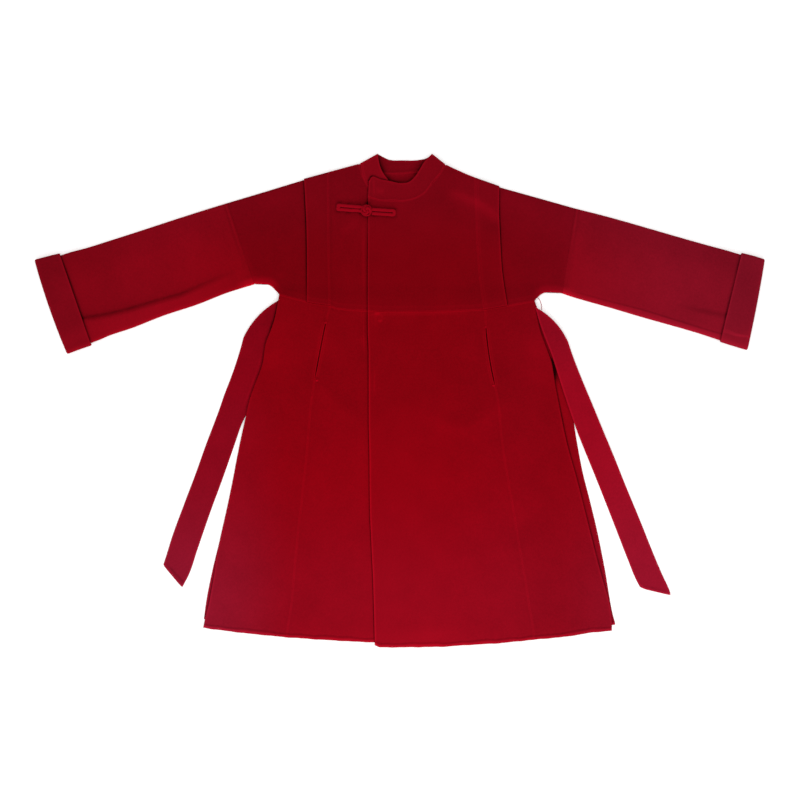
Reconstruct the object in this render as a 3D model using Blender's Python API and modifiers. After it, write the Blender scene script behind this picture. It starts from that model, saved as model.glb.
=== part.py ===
"""Hanfu coat of felted, double-faced wool, laid flat with its front up.

Lengths are in millimetres and become metres where a mesh is made. X runs across the coat, with the
wearer's left at +X, Y runs from the hem up to the neck, and Z is up from the surface it lies on.
The origin is the middle of the coat's footprint, on that surface.
"""
from collections import namedtuple
from math import cos, hypot, pi, sin

import bmesh
import bpy

MM = 0.001

# Cloth
CLOTH = 2.3          # one ply of felted wool
BELT = 3.0           # the belt, sewn from a folded strip
AIR = 0.5            # between plies that lie on each other
SEAM = 0.3           # between pieces sewn edge to edge, and under pieces sewn on
HALF_SEAM = SEAM / 2
PLY = CLOTH + AIR
BELT_PLY = BELT + AIR

# Belt behind the waist
BELT_TOP_Y = 187.0
BELT_BOTTOM_Y = 135.0
LIFT_LOW_Y = 60.0      # what lies over the belt is back on the surface here
LIFT_FULL_Y = 200.0    # lifted in full from the belt's lower edge up to here
LIFT_HIGH_Y = 234.0    # and back on the surface here
TUCK_FULL = 16.0       # the side lies on the belt's end as far in as this
TUCK_NONE = 64.0       # and is back on the surface from here
TUCK_MARGINS = (TUCK_FULL, TUCK_NONE)
TUCK_LOW_Y = -110.0
TUCK_HIGH_Y = -50.0
BELT_LEFT_DOWN_Y = -150.0    # the belt's left end lies on the surface below this
BELT_LEFT_UP_Y = -66.0       # and on the edge of the back above this
BELT_STEPS = 4               # steps across the belt's ends
BELT_BACK_STEPS = 8          # steps along the belt behind the waist

# Overlap of the fronts
UNDERLAP_X = 78.0      # hidden edge of the right front
OVERLAP_FULL_X = 84.0
OVERLAP_NONE_X = 132.0

# Pocket slits in the princess seams: the opening, how fast it tapers, and from which y to which
SLIT_GAP = 1.8
SLIT_TAPER = 12.0
RIGHT_SLIT = (38, 156)
LEFT_SLIT = (29, 144)

STRIP_OVERHANG = 2.0   # a shoulder strip stands proud of the shoulder as it wraps over it
COLLAR_STEPS = 4       # steps across the collar band

# Sleeves and cuffs. Places and widths across a sleeve are shares of it, from its upper edge
SLEEVE_RISE = 85.0     # length over which the sleeve climbs onto the cuff's under side
SLEEVE_HEIGHT = 2 * CLOTH + AIR
CUFF_HEIGHT = 4 * CLOTH + 3 * AIR
ROLL_HEIGHT = 5.0      # the rounded roll along a sleeve's lower edge
ROLL_RISE = 0.06       # the roll is at its full height this far past its crease
ROLL_FALL_START = 0.08
ROLL_FALL = 0.7        # how much of the roll is gone at the lower edge
UPPER_PLACES = (0.2, 0.4, 0.6)
CREASE_PLACES = (-0.08, -0.03, 0.0, 0.03, ROLL_RISE)
PLAIN_PLACES = (0.25, 0.5, 0.75)
EDGE_STEPS = 4         # steps round a flattened tube's edge

# Frog
CORD = 7.6             # each of the two cords of an arm
CORD_STEPS = 5
ARM_WIDTH = 16.6
ARM_HEIGHT = 5.4
ARM_SCALE = 0.97       # the cords between an arm's ends
ARM_END_SCALE = 0.82   # the rounded rim of an arm's end
WRAP = 5.0             # the wrapped end of an arm
WRAP_SCALE = 1.09
WRAP_ROUND = 0.9       # a wrap's rounded rims
WRAP_STEP = 0.4
KNOT_X = -66.0
KNOT_Y = 379.0
KNOT_RADIUS = 10.8
KNOT_HEIGHT = 10.4
KNOT_SEGMENTS = 16
KNOT_RINGS = 10

# Meshing
SETTLING = 12          # rounds that settle where a row meets a slanted edge
CORNER_REACH = 0.5     # a seam's corner this near a panel's edge gets no column of its own

COLLECTION = "hanfu_coat"

Side = namedtuple("Side", "y x")            # an edge that runs up the coat
Level = namedtuple("Level", "x y")          # an edge that runs across the coat
Band = namedtuple("Band", "low_x low_y high_x high_y spring")
Ring = namedtuple("Ring", "upper_x upper_y lower_x lower_y crease roll bow")
BeltRow = namedtuple("BeltRow", "outer_x outer_y inner_x inner_y bow")
Arm = namedtuple("Arm", "outer_x outer_y inner_x inner_y")
Seamed = namedtuple("Seamed", "edge shift")  # a line across the coat, and how far off it a panel ends


def sides(*rows):
    return [Side(*row) for row in rows]


def levels(*rows):
    return [Level(*row) for row in rows]


# Edges that run up the coat: y, x
FRONT_EDGE = sides((-489, -49), (-280, -56), (-40, -62), (98, -62), (140, -66), (240, -66), (367, -65),
                   (407, -61))
HIDDEN_EDGE = sides((-489, UNDERLAP_X), (407, UNDERLAP_X))
SIDE_RIGHT = sides((-456, -391), (-400, -384), (-340, -372.5), (-280, -359.5), (-220, -346),
                   (-160, -333.5), (-100, -322), (-36, -309), (56, -284), (112, -268), (166, -249),
                   (212, -240))
BACK_SIDE_RIGHT = sides((-437, -391), (-400, -386), (-340, -374), (-280, -359.5), (-220, -346),
                        (-160, -333.5), (-100, -322), (-36, -309), (56, -284), (112, -268), (166, -249),
                        (212, -240))
SIDE_LEFT = sides((-462, 424), (-362, 409), (-275, 387), (-140, 351), (-34, 327), (30, 313), (76, 304),
                  (128, 286), (199, 270))
BACK_SIDE_LEFT = sides((-447, 432), (-420, 425), (-340, 411), (-260, 395), (-200, 381), (-140, 366.5),
                       (-60, 350), (20, 330), (84, 312), (140, 292), (199, 270))
PRINCESS_RIGHT = sides((-470, -223), (-332, -210), (-280, -203), (-140, -189), (-46, -181), (6, -174),
                       (38, -168), (94, -159), (156, -147), (190, -138))
PRINCESS_LEFT = sides((-470, 268), (-377, 256), (-280, 241), (-128, 214), (-59, 206), (-16, 200),
                      (29, 190), (81, 181), (144, 174), (182, 171))
STRIP_SEAM_RIGHT = sides((188, -138), (217, -137), (324, -139), (455, -141))
STRIP_EDGE_RIGHT = sides((195, -186), (268, -186), (326, -187), (384, -188), (446, -191))
STRIP_SEAM_LEFT = sides((180, 171), (240, 164), (324, 157), (425, 154), (446, 153))
STRIP_EDGE_LEFT = sides((187, 217), (226, 211), (268, 206), (330, 203), (380, 201), (430, 202))
ARMHOLE_RIGHT = sides((206, -241), (212, -240.5), (217, -245), (228, -255), (232, -262), (234, -290),
                      (394.5, -344))
ARMHOLE_LEFT = sides((196, 270), (199, 270.5), (206.5, 276), (214, 284), (217, 325), (383.5, 352))

# Edges that run across the coat: x, y
WAIST = levels((-240, 212), (-176, 195), (-138, 190), (-108, 181), (-73, 178), (0, 177),
               (OVERLAP_FULL_X, 178), (OVERLAP_NONE_X, 180), (171, 182), (217, 190), (270, 199))
BACK_WAIST = levels((-240, 212), (-176, 200), (-80, 190), (100, 190), (200, 193), (270, 199))
HEM_UNDER = levels((-391, -454), (-374, -457), (-310, -465), (-230, -473), (-158, -478), (-98, -481.5),
                   (-51, -483.5), (UNDERLAP_X, -484))
HEM_OVER = levels((-49, -489), (-40, -493), (0, -493), (OVERLAP_FULL_X, -492), (OVERLAP_NONE_X, -489),
                  (202, -485), (254, -479.5), (334, -472), (382, -464), (424, -460))
HEM_BACK = levels((-391, -437), (-300, -452), (-100, -472), (100, -476), (300, -465), (380, -456),
                  (432, -446))
SHOULDER_RIGHT = levels((-344, 394.5), (-262, 419), (-192, 440.5), (-141, 456.5), (-79, 473.5))
SHOULDER_LEFT = levels((97, 468.5), (142, 450), (202, 426), (254, 411), (352, 383.5))
BACK_TOP = levels((-344, 394.5), (-192, 440), (-79, 473.5), (-57, 463), (-33, 455), (2, 454), (37, 458),
                  (68, 464), (97, 468.5), (202, 426), (352, 383.5))
FRONT_TOP_RIGHT = levels((-141, 456.5), (-79, 473.5), (-75, 450), (-60, 422), (-36, 401), (2, 391),
                         (40, 392), (UNDERLAP_X, 403))
FRONT_TOP_LEFT = levels((-61, 407), (-41, 400), (8, 398.5), (32, 404), (51, 414), (73, 437), (97, 468.5),
                        (142, 450))

# Stretches of the collar band: seam edge, free edge, and how far the free edge stands up
COLLAR_OVER_ROWS = [
    Band(-61, 407, -61, 438, 0.4),
    Band(-55, 405, -55, 447, 0.8),
    Band(-41, 400, -38, 442, 1.5),
    Band(-16, 399.4, -18, 438, 2.5),
    Band(8, 398.5, 3, 434, 3.0),
    Band(32, 404, 18, 436, 3.5),
    Band(51, 414.2, 30, 446, 4.0),
    Band(73, 437.4, 40, 461, 4.5),
    Band(85, 453.5, 50, 477, 4.5),
    Band(97, 469.3, 65, 492.5, 3.0),
]
COLLAR_UNDER_ROWS = [
    Band(-78.6, 474, -43, 493, 3.0),
    Band(-76.7, 462, -42, 482, 5.0),
    Band(-74.6, 450, -37, 463, 4.5),
    Band(-59.8, 422.2, -26, 445, 1.5),
    Band(-36, 401, -12, 432, 0.0),
    Band(2, 391, 15, 425, 0.0),
    Band(40, 392, 45, 427, 0.0),
    Band(68, 400, 66, 432, 0.0),
]
COLLAR_BACK_ROWS = [
    Band(-78.6, 474, -43.5, 492.7, 0.0),
    Band(-57, 463, -35, 488, 0.2),
    Band(-33, 455, -23, 482, 0.8),
    Band(2, 454, 8, 480, 1.2),
    Band(37, 458, 40, 481, 0.8),
    Band(68, 464, 53, 484, 0.2),
    Band(97, 469, 65, 491.5, 0.0),
]

# Sleeves from the armhole to the fold of the cuff: upper edge, lower edge, where the crease runs
# (0 at the upper edge, 1 at the lower) and how much of the roll there is
SLEEVE_RIGHT_ROWS = [
    Ring(-344.3, 394.6, -290.3, 233, 0.80, 0.0, 0.0),
    Ring(-390, 380.5, -342, 216, 0.78, 0.7, 0.0),
    Ring(-454, 360, -406, 191, 0.79, 1.0, 0.0),
    Ring(-518, 339, -470, 170, 0.80, 1.0, 0.0),
    Ring(-582, 318.5, -534, 145, 0.77, 1.0, 0.0),
    Ring(-630, 303.5, -580, 129.5, 0.74, 0.9, 0.0),
    Ring(-655, 297, -597, 122, 0.73, 0.8, 0.0),
    Ring(-678, 289.5, -614, 115.5, 0.72, 0.0, 0.0),
    Ring(-722, 276, -658.5, 100, 0.72, 0.0, 3.5),
]
SLEEVE_LEFT_ROWS = [
    Ring(352.3, 383.5, 325.3, 214, 0.90, 0.0, 0.0),
    Ring(398, 372, 374, 198.5, 0.90, 0.7, 0.0),
    Ring(446, 359, 422, 185, 0.90, 1.0, 0.0),
    Ring(510, 340.5, 486, 166, 0.90, 1.0, 0.0),
    Ring(574, 322, 550, 148, 0.88, 1.0, 0.0),
    Ring(622, 308.5, 598, 134, 0.87, 1.0, 0.0),
    Ring(655, 299.5, 622, 126, 0.86, 0.8, 0.0),
    Ring(681, 291.5, 640, 120, 0.86, 0.0, 0.0),
    Ring(722, 280, 687.5, 106.5, 0.86, 0.0, 1.5),
]
CUFF_RIGHT_ROWS = [
    Ring(-679, 294, -615, 110, 0.5, 0.0, 0.0),
    Ring(-704, 288, -640, 101.5, 0.5, 0.0, 2.0),
    Ring(-726.5, 282, -661, 93.5, 0.5, 0.0, 3.5),
    Ring(-730, 279, -665, 97, 0.5, 0.0, 3.5),
]
CUFF_LEFT_ROWS = [
    Ring(683, 295, 640, 117, 0.5, 0.0, 0.0),
    Ring(706, 289.5, 667, 108.5, 0.5, 0.0, 1.0),
    Ring(727, 283, 692, 101, 0.5, 0.0, 1.5),
    Ring(730, 280, 696, 104, 0.5, 0.0, 1.5),
]

# The belt's ends from their diagonal folds down: points on the outer and the inner edge, and how far
# the middle bows off the line between them
BELT_RIGHT_ROWS = [
    BeltRow(-308, 135, -238, 195, 12.0),
    BeltRow(-314, 115, -246, 152, 4.0),
    BeltRow(-325, 80, -256, 115, 0.0),
    BeltRow(-338, 43, -270, 66, 0.0),
    BeltRow(-350, 12, -284, 25, 0.0),
    BeltRow(-361, -20, -298, -12, 0.0),
    BeltRow(-373, -52, -315, -46, 0.0),
    BeltRow(-386, -86, -329, -86, 0.0),
    BeltRow(-407, -145, -352, -152, 0.0),
    BeltRow(-432, -211, -377, -220, 0.0),
    BeltRow(-457, -280, -404, -298, 0.0),
    BeltRow(-472, -321, -421, -348, 0.0),
    BeltRow(-471, -333, -436, -374, 0.0),
]
BELT_LEFT_ROWS = [
    BeltRow(333, 132, 277, 183, 9.0),
    BeltRow(340, 108, 288, 150, 3.0),
    BeltRow(351, 78, 305, 92, 0.0),
    BeltRow(366, 40, 322, 40, 0.0),
    BeltRow(387, -10, 340, -16, 0.0),
    BeltRow(411, -70, 359, -70, 0.0),
    BeltRow(432, -120, 379, -120, 0.0),
    BeltRow(452, -170, 401, -176, 0.0),
    BeltRow(481, -240, 430, -250, 0.0),
    BeltRow(509, -310, 458, -322, 0.0),
    BeltRow(533, -365, 475, -366, 0.0),
    BeltRow(543, -389, 488, -375.5, 0.0),
]

# The frog's arms, each from its wrapped outer end to the knot
FROG_ARM_RIGHT = Arm(-126, 386, -78.5, 382)
FROG_ARM_LEFT = Arm(-7, 374, -53.5, 377)

# Columns that panels have at these x, where the neck or the overlap turns
BACK_COLUMNS = (-139, -77, -33, 37, 98, 157)
RIGHT_FRONT_COLUMNS = (-108, -77, -66, -54, -36)
LEFT_FRONT_COLUMNS = (16, 45, 64, OVERLAP_FULL_X, OVERLAP_NONE_X)
LEFT_SKIRT_COLUMNS = (0.0, OVERLAP_FULL_X, OVERLAP_NONE_X)

# Colours, linear
BODICE_RED = (0.166, 0.000, 0.004, 1.0)
SIDE_RED = (0.140, 0.000, 0.003, 1.0)
SKIRT_RED = (0.240, 0.001, 0.006, 1.0)
SLEEVE_RED = (0.200, 0.001, 0.006, 1.0)
BELT_RED = (0.260, 0.003, 0.010, 1.0)
WOOL_ROUGHNESS = 0.95


def curve(table, at):
    """Read a table's second column at a value of its first one, along a smooth line with no overshoot."""
    keys = [row[0] for row in table]
    values = [row[1] for row in table]
    if keys[0] > keys[-1]:
        keys.reverse()
        values.reverse()
    if at <= keys[0]:
        return values[0]
    if at >= keys[-1]:
        return values[-1]
    spot = max(i for i, key in enumerate(keys[:-1]) if key <= at)
    steps = [b - a for a, b in zip(keys, keys[1:])]
    rises = [(b - a) / step for a, b, step in zip(values, values[1:], steps)]

    def slope(i):
        if i == 0:
            return rises[0]
        if i == len(rises):
            return rises[-1]
        before, after = rises[i - 1], rises[i]
        if before * after <= 0.0:
            return 0.0
        return 2.0 * before * after / (before + after)

    step = steps[spot]
    w = (at - keys[spot]) / step
    start = values[spot] * (1 + 2 * w) * (1 - w) ** 2 + slope(spot) * step * w * (1 - w) ** 2
    end = values[spot + 1] * w * w * (3 - 2 * w) - slope(spot + 1) * step * w * w * (1 - w)
    return start + end


def line(table, at):
    """Read a table's second column along straight lines between its rows."""
    rows = sorted(table)
    if at <= rows[0][0]:
        return rows[0][1]
    for before, after in zip(rows, rows[1:]):
        if at <= after[0]:
            return before[1] + (after[1] - before[1]) * (at - before[0]) / (after[0] - before[0])
    return rows[-1][1]


def ramp(value, zero, one):
    """0 at one value and 1 at the other, straight between them."""
    return min(1.0, max(0.0, (value - zero) / (one - zero)))


# Heights of the plies

def belt_lift(y):
    """How far the belt behind the waist lifts what lies over it."""
    return BELT_PLY * min(ramp(y, LIFT_LOW_Y, BELT_BOTTOM_Y), ramp(y, LIFT_HIGH_Y, LIFT_FULL_Y))


def tuck_lift(x, y):
    """How far the belt's right end lifts the coat's side, which lies on it."""
    inside = x - curve(SIDE_RIGHT, y)
    reach = min(ramp(y, TUCK_LOW_Y, TUCK_HIGH_Y), ramp(y, LIFT_HIGH_Y, LIFT_FULL_Y))
    return BELT_PLY * ramp(inside, TUCK_NONE, TUCK_FULL) * reach


def back_height(x, y):
    return belt_lift(y) + tuck_lift(x, y)


def front_height(x, y):
    return back_height(x, y) + PLY


def over_height(x, y):
    """Under side of the left front, which lies on the right front as far as that reaches."""
    return front_height(x, y) + PLY * ramp(x, OVERLAP_NONE_X, OVERLAP_FULL_X)


def strip_height(x, y):
    return front_height(x, y) + PLY


def belt_right_height(x, y):
    """The belt's right end lies on the belt behind the waist, then on the surface."""
    return belt_lift(y)


def belt_left_height(x, y):
    """The belt's left end lies on the edge of the back, then comes down to the surface."""
    return belt_lift(y) + PLY * ramp(y, BELT_LEFT_DOWN_Y, BELT_LEFT_UP_Y)


# Making meshes

def finish(name, mesh, colour, thickness=None, offset=1.0):
    """Give a mesh its object, material, collection and, for a sheet, its thickness."""
    item = bpy.data.objects.new(name, mesh)
    bpy.data.collections[COLLECTION].objects.link(item)
    material = bpy.data.materials.new(name)
    material.use_nodes = True
    shader = material.node_tree.nodes["Principled BSDF"]
    shader.inputs["Base Color"].default_value = colour
    shader.inputs["Roughness"].default_value = WOOL_ROUGHNESS
    shader.inputs["Metallic"].default_value = 0.0
    mesh.materials.append(material)
    if thickness:
        solidify = item.modifiers.new("cloth", "SOLIDIFY")
        solidify.thickness = thickness * MM
        solidify.offset = offset
        solidify.use_even_offset = False
    return item


def lattice(name, rows, colour, thickness, closed=False, offset=1.0):
    """A sheet through rows of points (x, y, z), or a tube where the rows are closed rings."""
    mesh = bpy.data.meshes.new(name)
    bm = bmesh.new()
    grid = [[bm.verts.new((x * MM, y * MM, z * MM)) for x, y, z in row] for row in rows]
    count = len(rows[0])
    for low, high in zip(grid, grid[1:]):
        for i in range(count if closed else count - 1):
            j = (i + 1) % count
            bm.faces.new((low[i], low[j], high[j], high[i]))
    if closed:
        bmesh.ops.recalc_face_normals(bm, faces=bm.faces)
        outward_at_top(bm)
    else:
        for face in bm.faces:
            face.normal_update()
        if sum(face.normal.z for face in bm.faces) < 0:
            bmesh.ops.reverse_faces(bm, faces=bm.faces)
    bm.to_mesh(mesh)
    bm.free()
    return finish(name, mesh, colour, thickness, offset)


def outward_at_top(bm):
    """Turn an open tube's faces so that the highest one looks up."""
    bm.normal_update()
    highest = max(bm.faces, key=lambda face: face.calc_center_median().z)
    if highest.normal.z < 0:
        bmesh.ops.reverse_faces(bm, faces=bm.faces)


def columns(left, right, count, margins, knots):
    """Places across a panel: its edges, margins inside the left one, fixed places, even steps between."""
    places = [left] + [left + gap for gap in margins] + list(knots) + [right]
    steps = count - len(places) + 1
    spans = [b - a for a, b in zip(places, places[1:])]
    share = [0] * len(spans)
    for _ in range(steps):
        widest = max(range(len(spans)), key=lambda i: spans[i] / (share[i] + 1))
        share[widest] += 1
    out = []
    for start, span, extra in zip(places, spans, share):
        out += [start + span * i / (extra + 1) for i in range(extra + 1)]
    return out + [right]


def snapped(places, knots):
    """Move the columns nearest to a line's own corners onto them, and space the others between."""
    inner = [knot for knot in knots if places[0] + CORNER_REACH < knot < places[-1] - CORNER_REACH]
    fixed = {0: places[0], len(places) - 1: places[-1]}
    first = 1
    for number, knot in enumerate(inner):
        last = len(places) - 1 - (len(inner) - number)
        best = min(range(first, last + 1), key=lambda i: abs(places[i] - knot))
        fixed[best] = knot
        first = best + 1
    marks = sorted(fixed)
    out = []
    for low, high in zip(marks, marks[1:]):
        span = fixed[high] - fixed[low]
        out += [fixed[low] + span * i / (high - low) for i in range(high - low)]
    return out + [fixed[marks[-1]]]


def panel(name, left, right, bottom, top, levels_between, across, height, colour):
    """A cut panel between two edges, which give x at a height y, a lower line and an upper line.

    Its rows lie on the lower line, at the levels between, and on the upper line. A level is a height
    y, or a function of the lower and the upper line's y at that place.
    """
    def edge_row(edge, shift):
        low = high = line(edge, 0.0)
        for _ in range(SETTLING):
            low = line(edge, left(low)) + shift
            high = line(edge, right(high)) + shift
        places = snapped(across(left(low), right(high)), [row.x for row in edge])
        return [(x, line(edge, x) + shift) for x in places]

    def inner_row(level):
        row = []
        for i in range(count):
            x, y = first_row[i]
            for _ in range(SETTLING):
                y = level(line(bottom.edge, x) + bottom.shift, line(top.edge, x) + top.shift)
                x = across(left(y), right(y))[i]
            row.append((x, y))
        return row

    first_row = edge_row(bottom.edge, bottom.shift)
    count = len(first_row)
    rows = [first_row]
    rows += [inner_row(level if callable(level) else lambda low, high, y=level: y)
             for level in levels_between]
    rows.append(edge_row(top.edge, top.shift))
    solid_rows = [[(x, y, height(x, y)) for x, y in row] for row in rows]
    return lattice(name, solid_rows, colour, CLOTH)


def up_from(level, share):
    """A level that is this share of the way from a height y up to the panel's upper line."""
    return lambda low, high: level + (high - level) * share


def below(level, share):
    """A level that is this share of the way from the panel's lower line up to a height y."""
    return lambda low, high: low + (level - low) * share


# Panels of the body. Panels that lie on each other share their levels, so their rows never cross

SKIRT_LEVELS = (-435, -395, -340, -280, -220, -165, -110, -50, 5, 60, 97, 135, 165, up_from(165, 0.55))
BODICE_LEVELS = (below(214, 0.5), 214, 217, 228, 232, 234, 256, 284, up_from(284, 0.25), up_from(284, 0.5),
                 up_from(284, 0.75))


def seam_side(table, side, reading=curve):
    """An edge half a seam off a seam's line, on its -X side (-1) or its +X side (1)."""
    return lambda y: reading(table, y) + side * HALF_SEAM


def outline(table, reading=curve):
    return lambda y: reading(table, y)


def slit_side(table, side, low_y, high_y):
    """A princess seam's edge, which stands back further where the pocket slit opens it."""
    def edge(y):
        inside = min(ramp(y, low_y, low_y + SLIT_TAPER), ramp(y, high_y, high_y - SLIT_TAPER))
        return curve(table, y) + side * (HALF_SEAM + (SLIT_GAP / 2 - HALF_SEAM) * inside)
    return edge


def spread(count, margins=(), knots=()):
    return lambda left, right: columns(left, right, count, margins, knots)


def make_skirts():
    waist = Seamed(WAIST, -HALF_SEAM)
    under = Seamed(HEM_UNDER, 0.0)
    over = Seamed(HEM_OVER, 0.0)
    panel("back_skirt", outline(BACK_SIDE_RIGHT), outline(BACK_SIDE_LEFT), Seamed(HEM_BACK, 0.0),
          Seamed(BACK_WAIST, -HALF_SEAM), SKIRT_LEVELS, spread(9, TUCK_MARGINS), back_height, SKIRT_RED)
    panel("side_skirt_right", outline(SIDE_RIGHT), slit_side(PRINCESS_RIGHT, -1, *RIGHT_SLIT), under, waist,
          SKIRT_LEVELS, spread(5, TUCK_MARGINS), front_height, SKIRT_RED)
    panel("front_skirt_right", slit_side(PRINCESS_RIGHT, 1, *RIGHT_SLIT), outline(HIDDEN_EDGE), under, waist,
          SKIRT_LEVELS, spread(6), front_height, SKIRT_RED)
    panel("front_skirt_left", outline(FRONT_EDGE), slit_side(PRINCESS_LEFT, -1, *LEFT_SLIT), over, waist,
          SKIRT_LEVELS, spread(7, knots=LEFT_SKIRT_COLUMNS), over_height, SKIRT_RED)
    panel("side_skirt_left", slit_side(PRINCESS_LEFT, 1, *LEFT_SLIT), outline(SIDE_LEFT), over, waist,
          SKIRT_LEVELS, spread(4), front_height, SKIRT_RED)


def make_bodice():
    waist = Seamed(WAIST, HALF_SEAM)
    panel("back_bodice", outline(ARMHOLE_RIGHT, line), outline(ARMHOLE_LEFT, line),
          Seamed(BACK_WAIST, HALF_SEAM), Seamed(BACK_TOP, -SEAM), BODICE_LEVELS,
          spread(14, TUCK_MARGINS, BACK_COLUMNS), back_height, BODICE_RED)
    panel("side_bodice_right", outline(ARMHOLE_RIGHT, line), seam_side(STRIP_SEAM_RIGHT, -1), waist,
          Seamed(SHOULDER_RIGHT, 0.0), BODICE_LEVELS, spread(5, TUCK_MARGINS), front_height, SIDE_RED)
    panel("side_bodice_left", seam_side(STRIP_SEAM_LEFT, 1), outline(ARMHOLE_LEFT, line), waist,
          Seamed(SHOULDER_LEFT, 0.0), BODICE_LEVELS, spread(5), front_height, SIDE_RED)
    panel("front_bodice_right", seam_side(STRIP_SEAM_RIGHT, 1), outline(HIDDEN_EDGE), waist,
          Seamed(FRONT_TOP_RIGHT, -SEAM), BODICE_LEVELS,
          spread(10, knots=RIGHT_FRONT_COLUMNS), front_height, BODICE_RED)
    panel("front_bodice_left", outline(FRONT_EDGE), seam_side(STRIP_SEAM_LEFT, -1), waist,
          Seamed(FRONT_TOP_LEFT, -SEAM), BODICE_LEVELS,
          spread(10, knots=LEFT_FRONT_COLUMNS), over_height, BODICE_RED)
    panel("shoulder_strip_right", outline(STRIP_EDGE_RIGHT), seam_side(STRIP_SEAM_RIGHT, -1), waist,
          Seamed(SHOULDER_RIGHT, STRIP_OVERHANG), BODICE_LEVELS, spread(2), strip_height, BODICE_RED)
    panel("shoulder_strip_left", seam_side(STRIP_SEAM_LEFT, 1), outline(STRIP_EDGE_LEFT), waist,
          Seamed(SHOULDER_LEFT, STRIP_OVERHANG), BODICE_LEVELS, spread(2), strip_height, BODICE_RED)


# Collar

def band(name, table, height):
    """A stretch of the collar band, from its seam edge to its free edge, which stands up a little."""
    rows = []
    for row in table:
        points = []
        for i in range(COLLAR_STEPS + 1):
            w = i / COLLAR_STEPS
            x = row.low_x + (row.high_x - row.low_x) * w
            y = row.low_y + (row.high_y - row.low_y) * w
            points.append((x, y, height(x, y) + row.spring * w * w))
        rows.append(points)
    return lattice(name, rows, BODICE_RED, CLOTH)


def make_collar():
    band("collar_back", COLLAR_BACK_ROWS, back_height)
    band("collar_under", COLLAR_UNDER_ROWS, front_height)
    band("collar_over", COLLAR_OVER_ROWS, over_height)


# Sleeves and cuffs

def flat_ring(row, base, height, bump):
    """A flattened ring across a sleeve: its upper ply, a round edge, its lower ply and a round edge.

    Bump gives how far the upper ply stands up at a place between the upper edge (0) and the lower (1).
    """
    across_x = row.lower_x - row.upper_x
    across_y = row.lower_y - row.upper_y
    length = hypot(across_x, across_y)
    outward = 1.0 if row.upper_x > 0 else -1.0
    out_x = outward * abs(across_y) / length
    out_y = -abs(across_x) / length
    radius = height / 2
    inset = radius / length

    def point(q, z):
        bow = row.bow * 4 * q * (1 - q)
        return (row.upper_x + across_x * q + out_x * bow, row.upper_y + across_y * q + out_y * bow, base + z)

    if row.crease > max(UPPER_PLACES):
        creased = [row.crease + place for place in CREASE_PLACES]
        top = [inset, *UPPER_PLACES, *creased, (creased[-1] + 1 - inset) / 2, 1 - inset]
    else:
        top = [inset, *PLAIN_PLACES, 1 - inset]
    ring = [point(q, height + bump(q)) for q in top]
    for i in range(1, EDGE_STEPS):
        turn = pi * i / EDGE_STEPS
        fade = bump(1 - inset) * (1 + cos(turn)) / 2
        ring.append(point(1 - inset + inset * sin(turn), radius + radius * cos(turn) + fade))
    ring += [point(q, 0.0) for q in (1 - inset, *reversed(PLAIN_PLACES), inset)]
    for i in range(1, EDGE_STEPS):
        turn = pi * i / EDGE_STEPS
        ring.append(point(inset - inset * sin(turn), radius - radius * cos(turn)))
    return ring


def roll_bump(row):
    """The roll along a sleeve's lower edge, steep at its crease and gentle towards the edge."""
    def bump(q):
        past = q - row.crease
        rise = ramp(past, 0.0, ROLL_RISE)
        fall = 1.0 - ROLL_FALL * ramp(past, ROLL_FALL_START, 1.0 - row.crease)
        return ROLL_HEIGHT * row.roll * rise * fall
    return bump


def sleeve(name, table, cuff):
    """A flattened sleeve, which climbs as it nears its cuff, onto the cuff's under side."""
    start = table[0].upper_x
    cuff_start = cuff[0].upper_x
    rows = []
    for row in table:
        climb = PLY * ramp(abs(row.upper_x - start), abs(cuff_start - start) - SLEEVE_RISE,
                           abs(cuff_start - start))
        rows.append(flat_ring(row, climb, SLEEVE_HEIGHT, roll_bump(row)))
    return lattice(name, rows, SLEEVE_RED, CLOTH, closed=True, offset=-1.0)


def cuff_ring(name, table):
    rows = [flat_ring(row, 0.0, CUFF_HEIGHT, lambda q: 0.0) for row in table]
    return lattice(name, rows, SLEEVE_RED, CLOTH, closed=True, offset=-1.0)


def make_sleeves():
    sleeve("sleeve_right", SLEEVE_RIGHT_ROWS, CUFF_RIGHT_ROWS)
    sleeve("sleeve_left", SLEEVE_LEFT_ROWS, CUFF_LEFT_ROWS)
    cuff_ring("cuff_right", CUFF_RIGHT_ROWS)
    cuff_ring("cuff_left", CUFF_LEFT_ROWS)


# Belt

def belt_end(name, table, height):
    """One end of the belt from its diagonal fold, whose edge bows, down to its slanted tip."""
    rows = []
    for row in table:
        length = hypot(row.inner_x - row.outer_x, row.inner_y - row.outer_y)
        side = 1.0 if row.inner_x > row.outer_x else -1.0
        line_x = -side * (row.inner_y - row.outer_y) / length
        line_y = side * (row.inner_x - row.outer_x) / length
        points = []
        for i in range(BELT_STEPS + 1):
            w = i / BELT_STEPS
            bow = row.bow * 4 * w * (1 - w)
            x = row.outer_x + (row.inner_x - row.outer_x) * w + line_x * bow
            y = row.outer_y + (row.inner_y - row.outer_y) * w + line_y * bow
            points.append((x, y, height(x, y)))
        rows.append(points)
    return lattice(name, rows, BELT_RED, BELT)


def make_belt():
    right_fold = BELT_RIGHT_ROWS[0]
    left_fold = BELT_LEFT_ROWS[0]
    rows = []
    for i in range(BELT_BACK_STEPS + 1):
        w = i / BELT_BACK_STEPS
        low_x = right_fold.outer_x + (left_fold.outer_x - right_fold.outer_x) * w
        high_x = right_fold.inner_x + (left_fold.inner_x - right_fold.inner_x) * w
        rows.append([(low_x, BELT_BOTTOM_Y, 0.0), (high_x, BELT_TOP_Y, 0.0)])
    lattice("belt_back", rows, BELT_RED, BELT)
    belt_end("belt_end_right", BELT_RIGHT_ROWS, belt_right_height)
    belt_end("belt_end_left", BELT_LEFT_ROWS, belt_left_height)


# Frog

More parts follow.
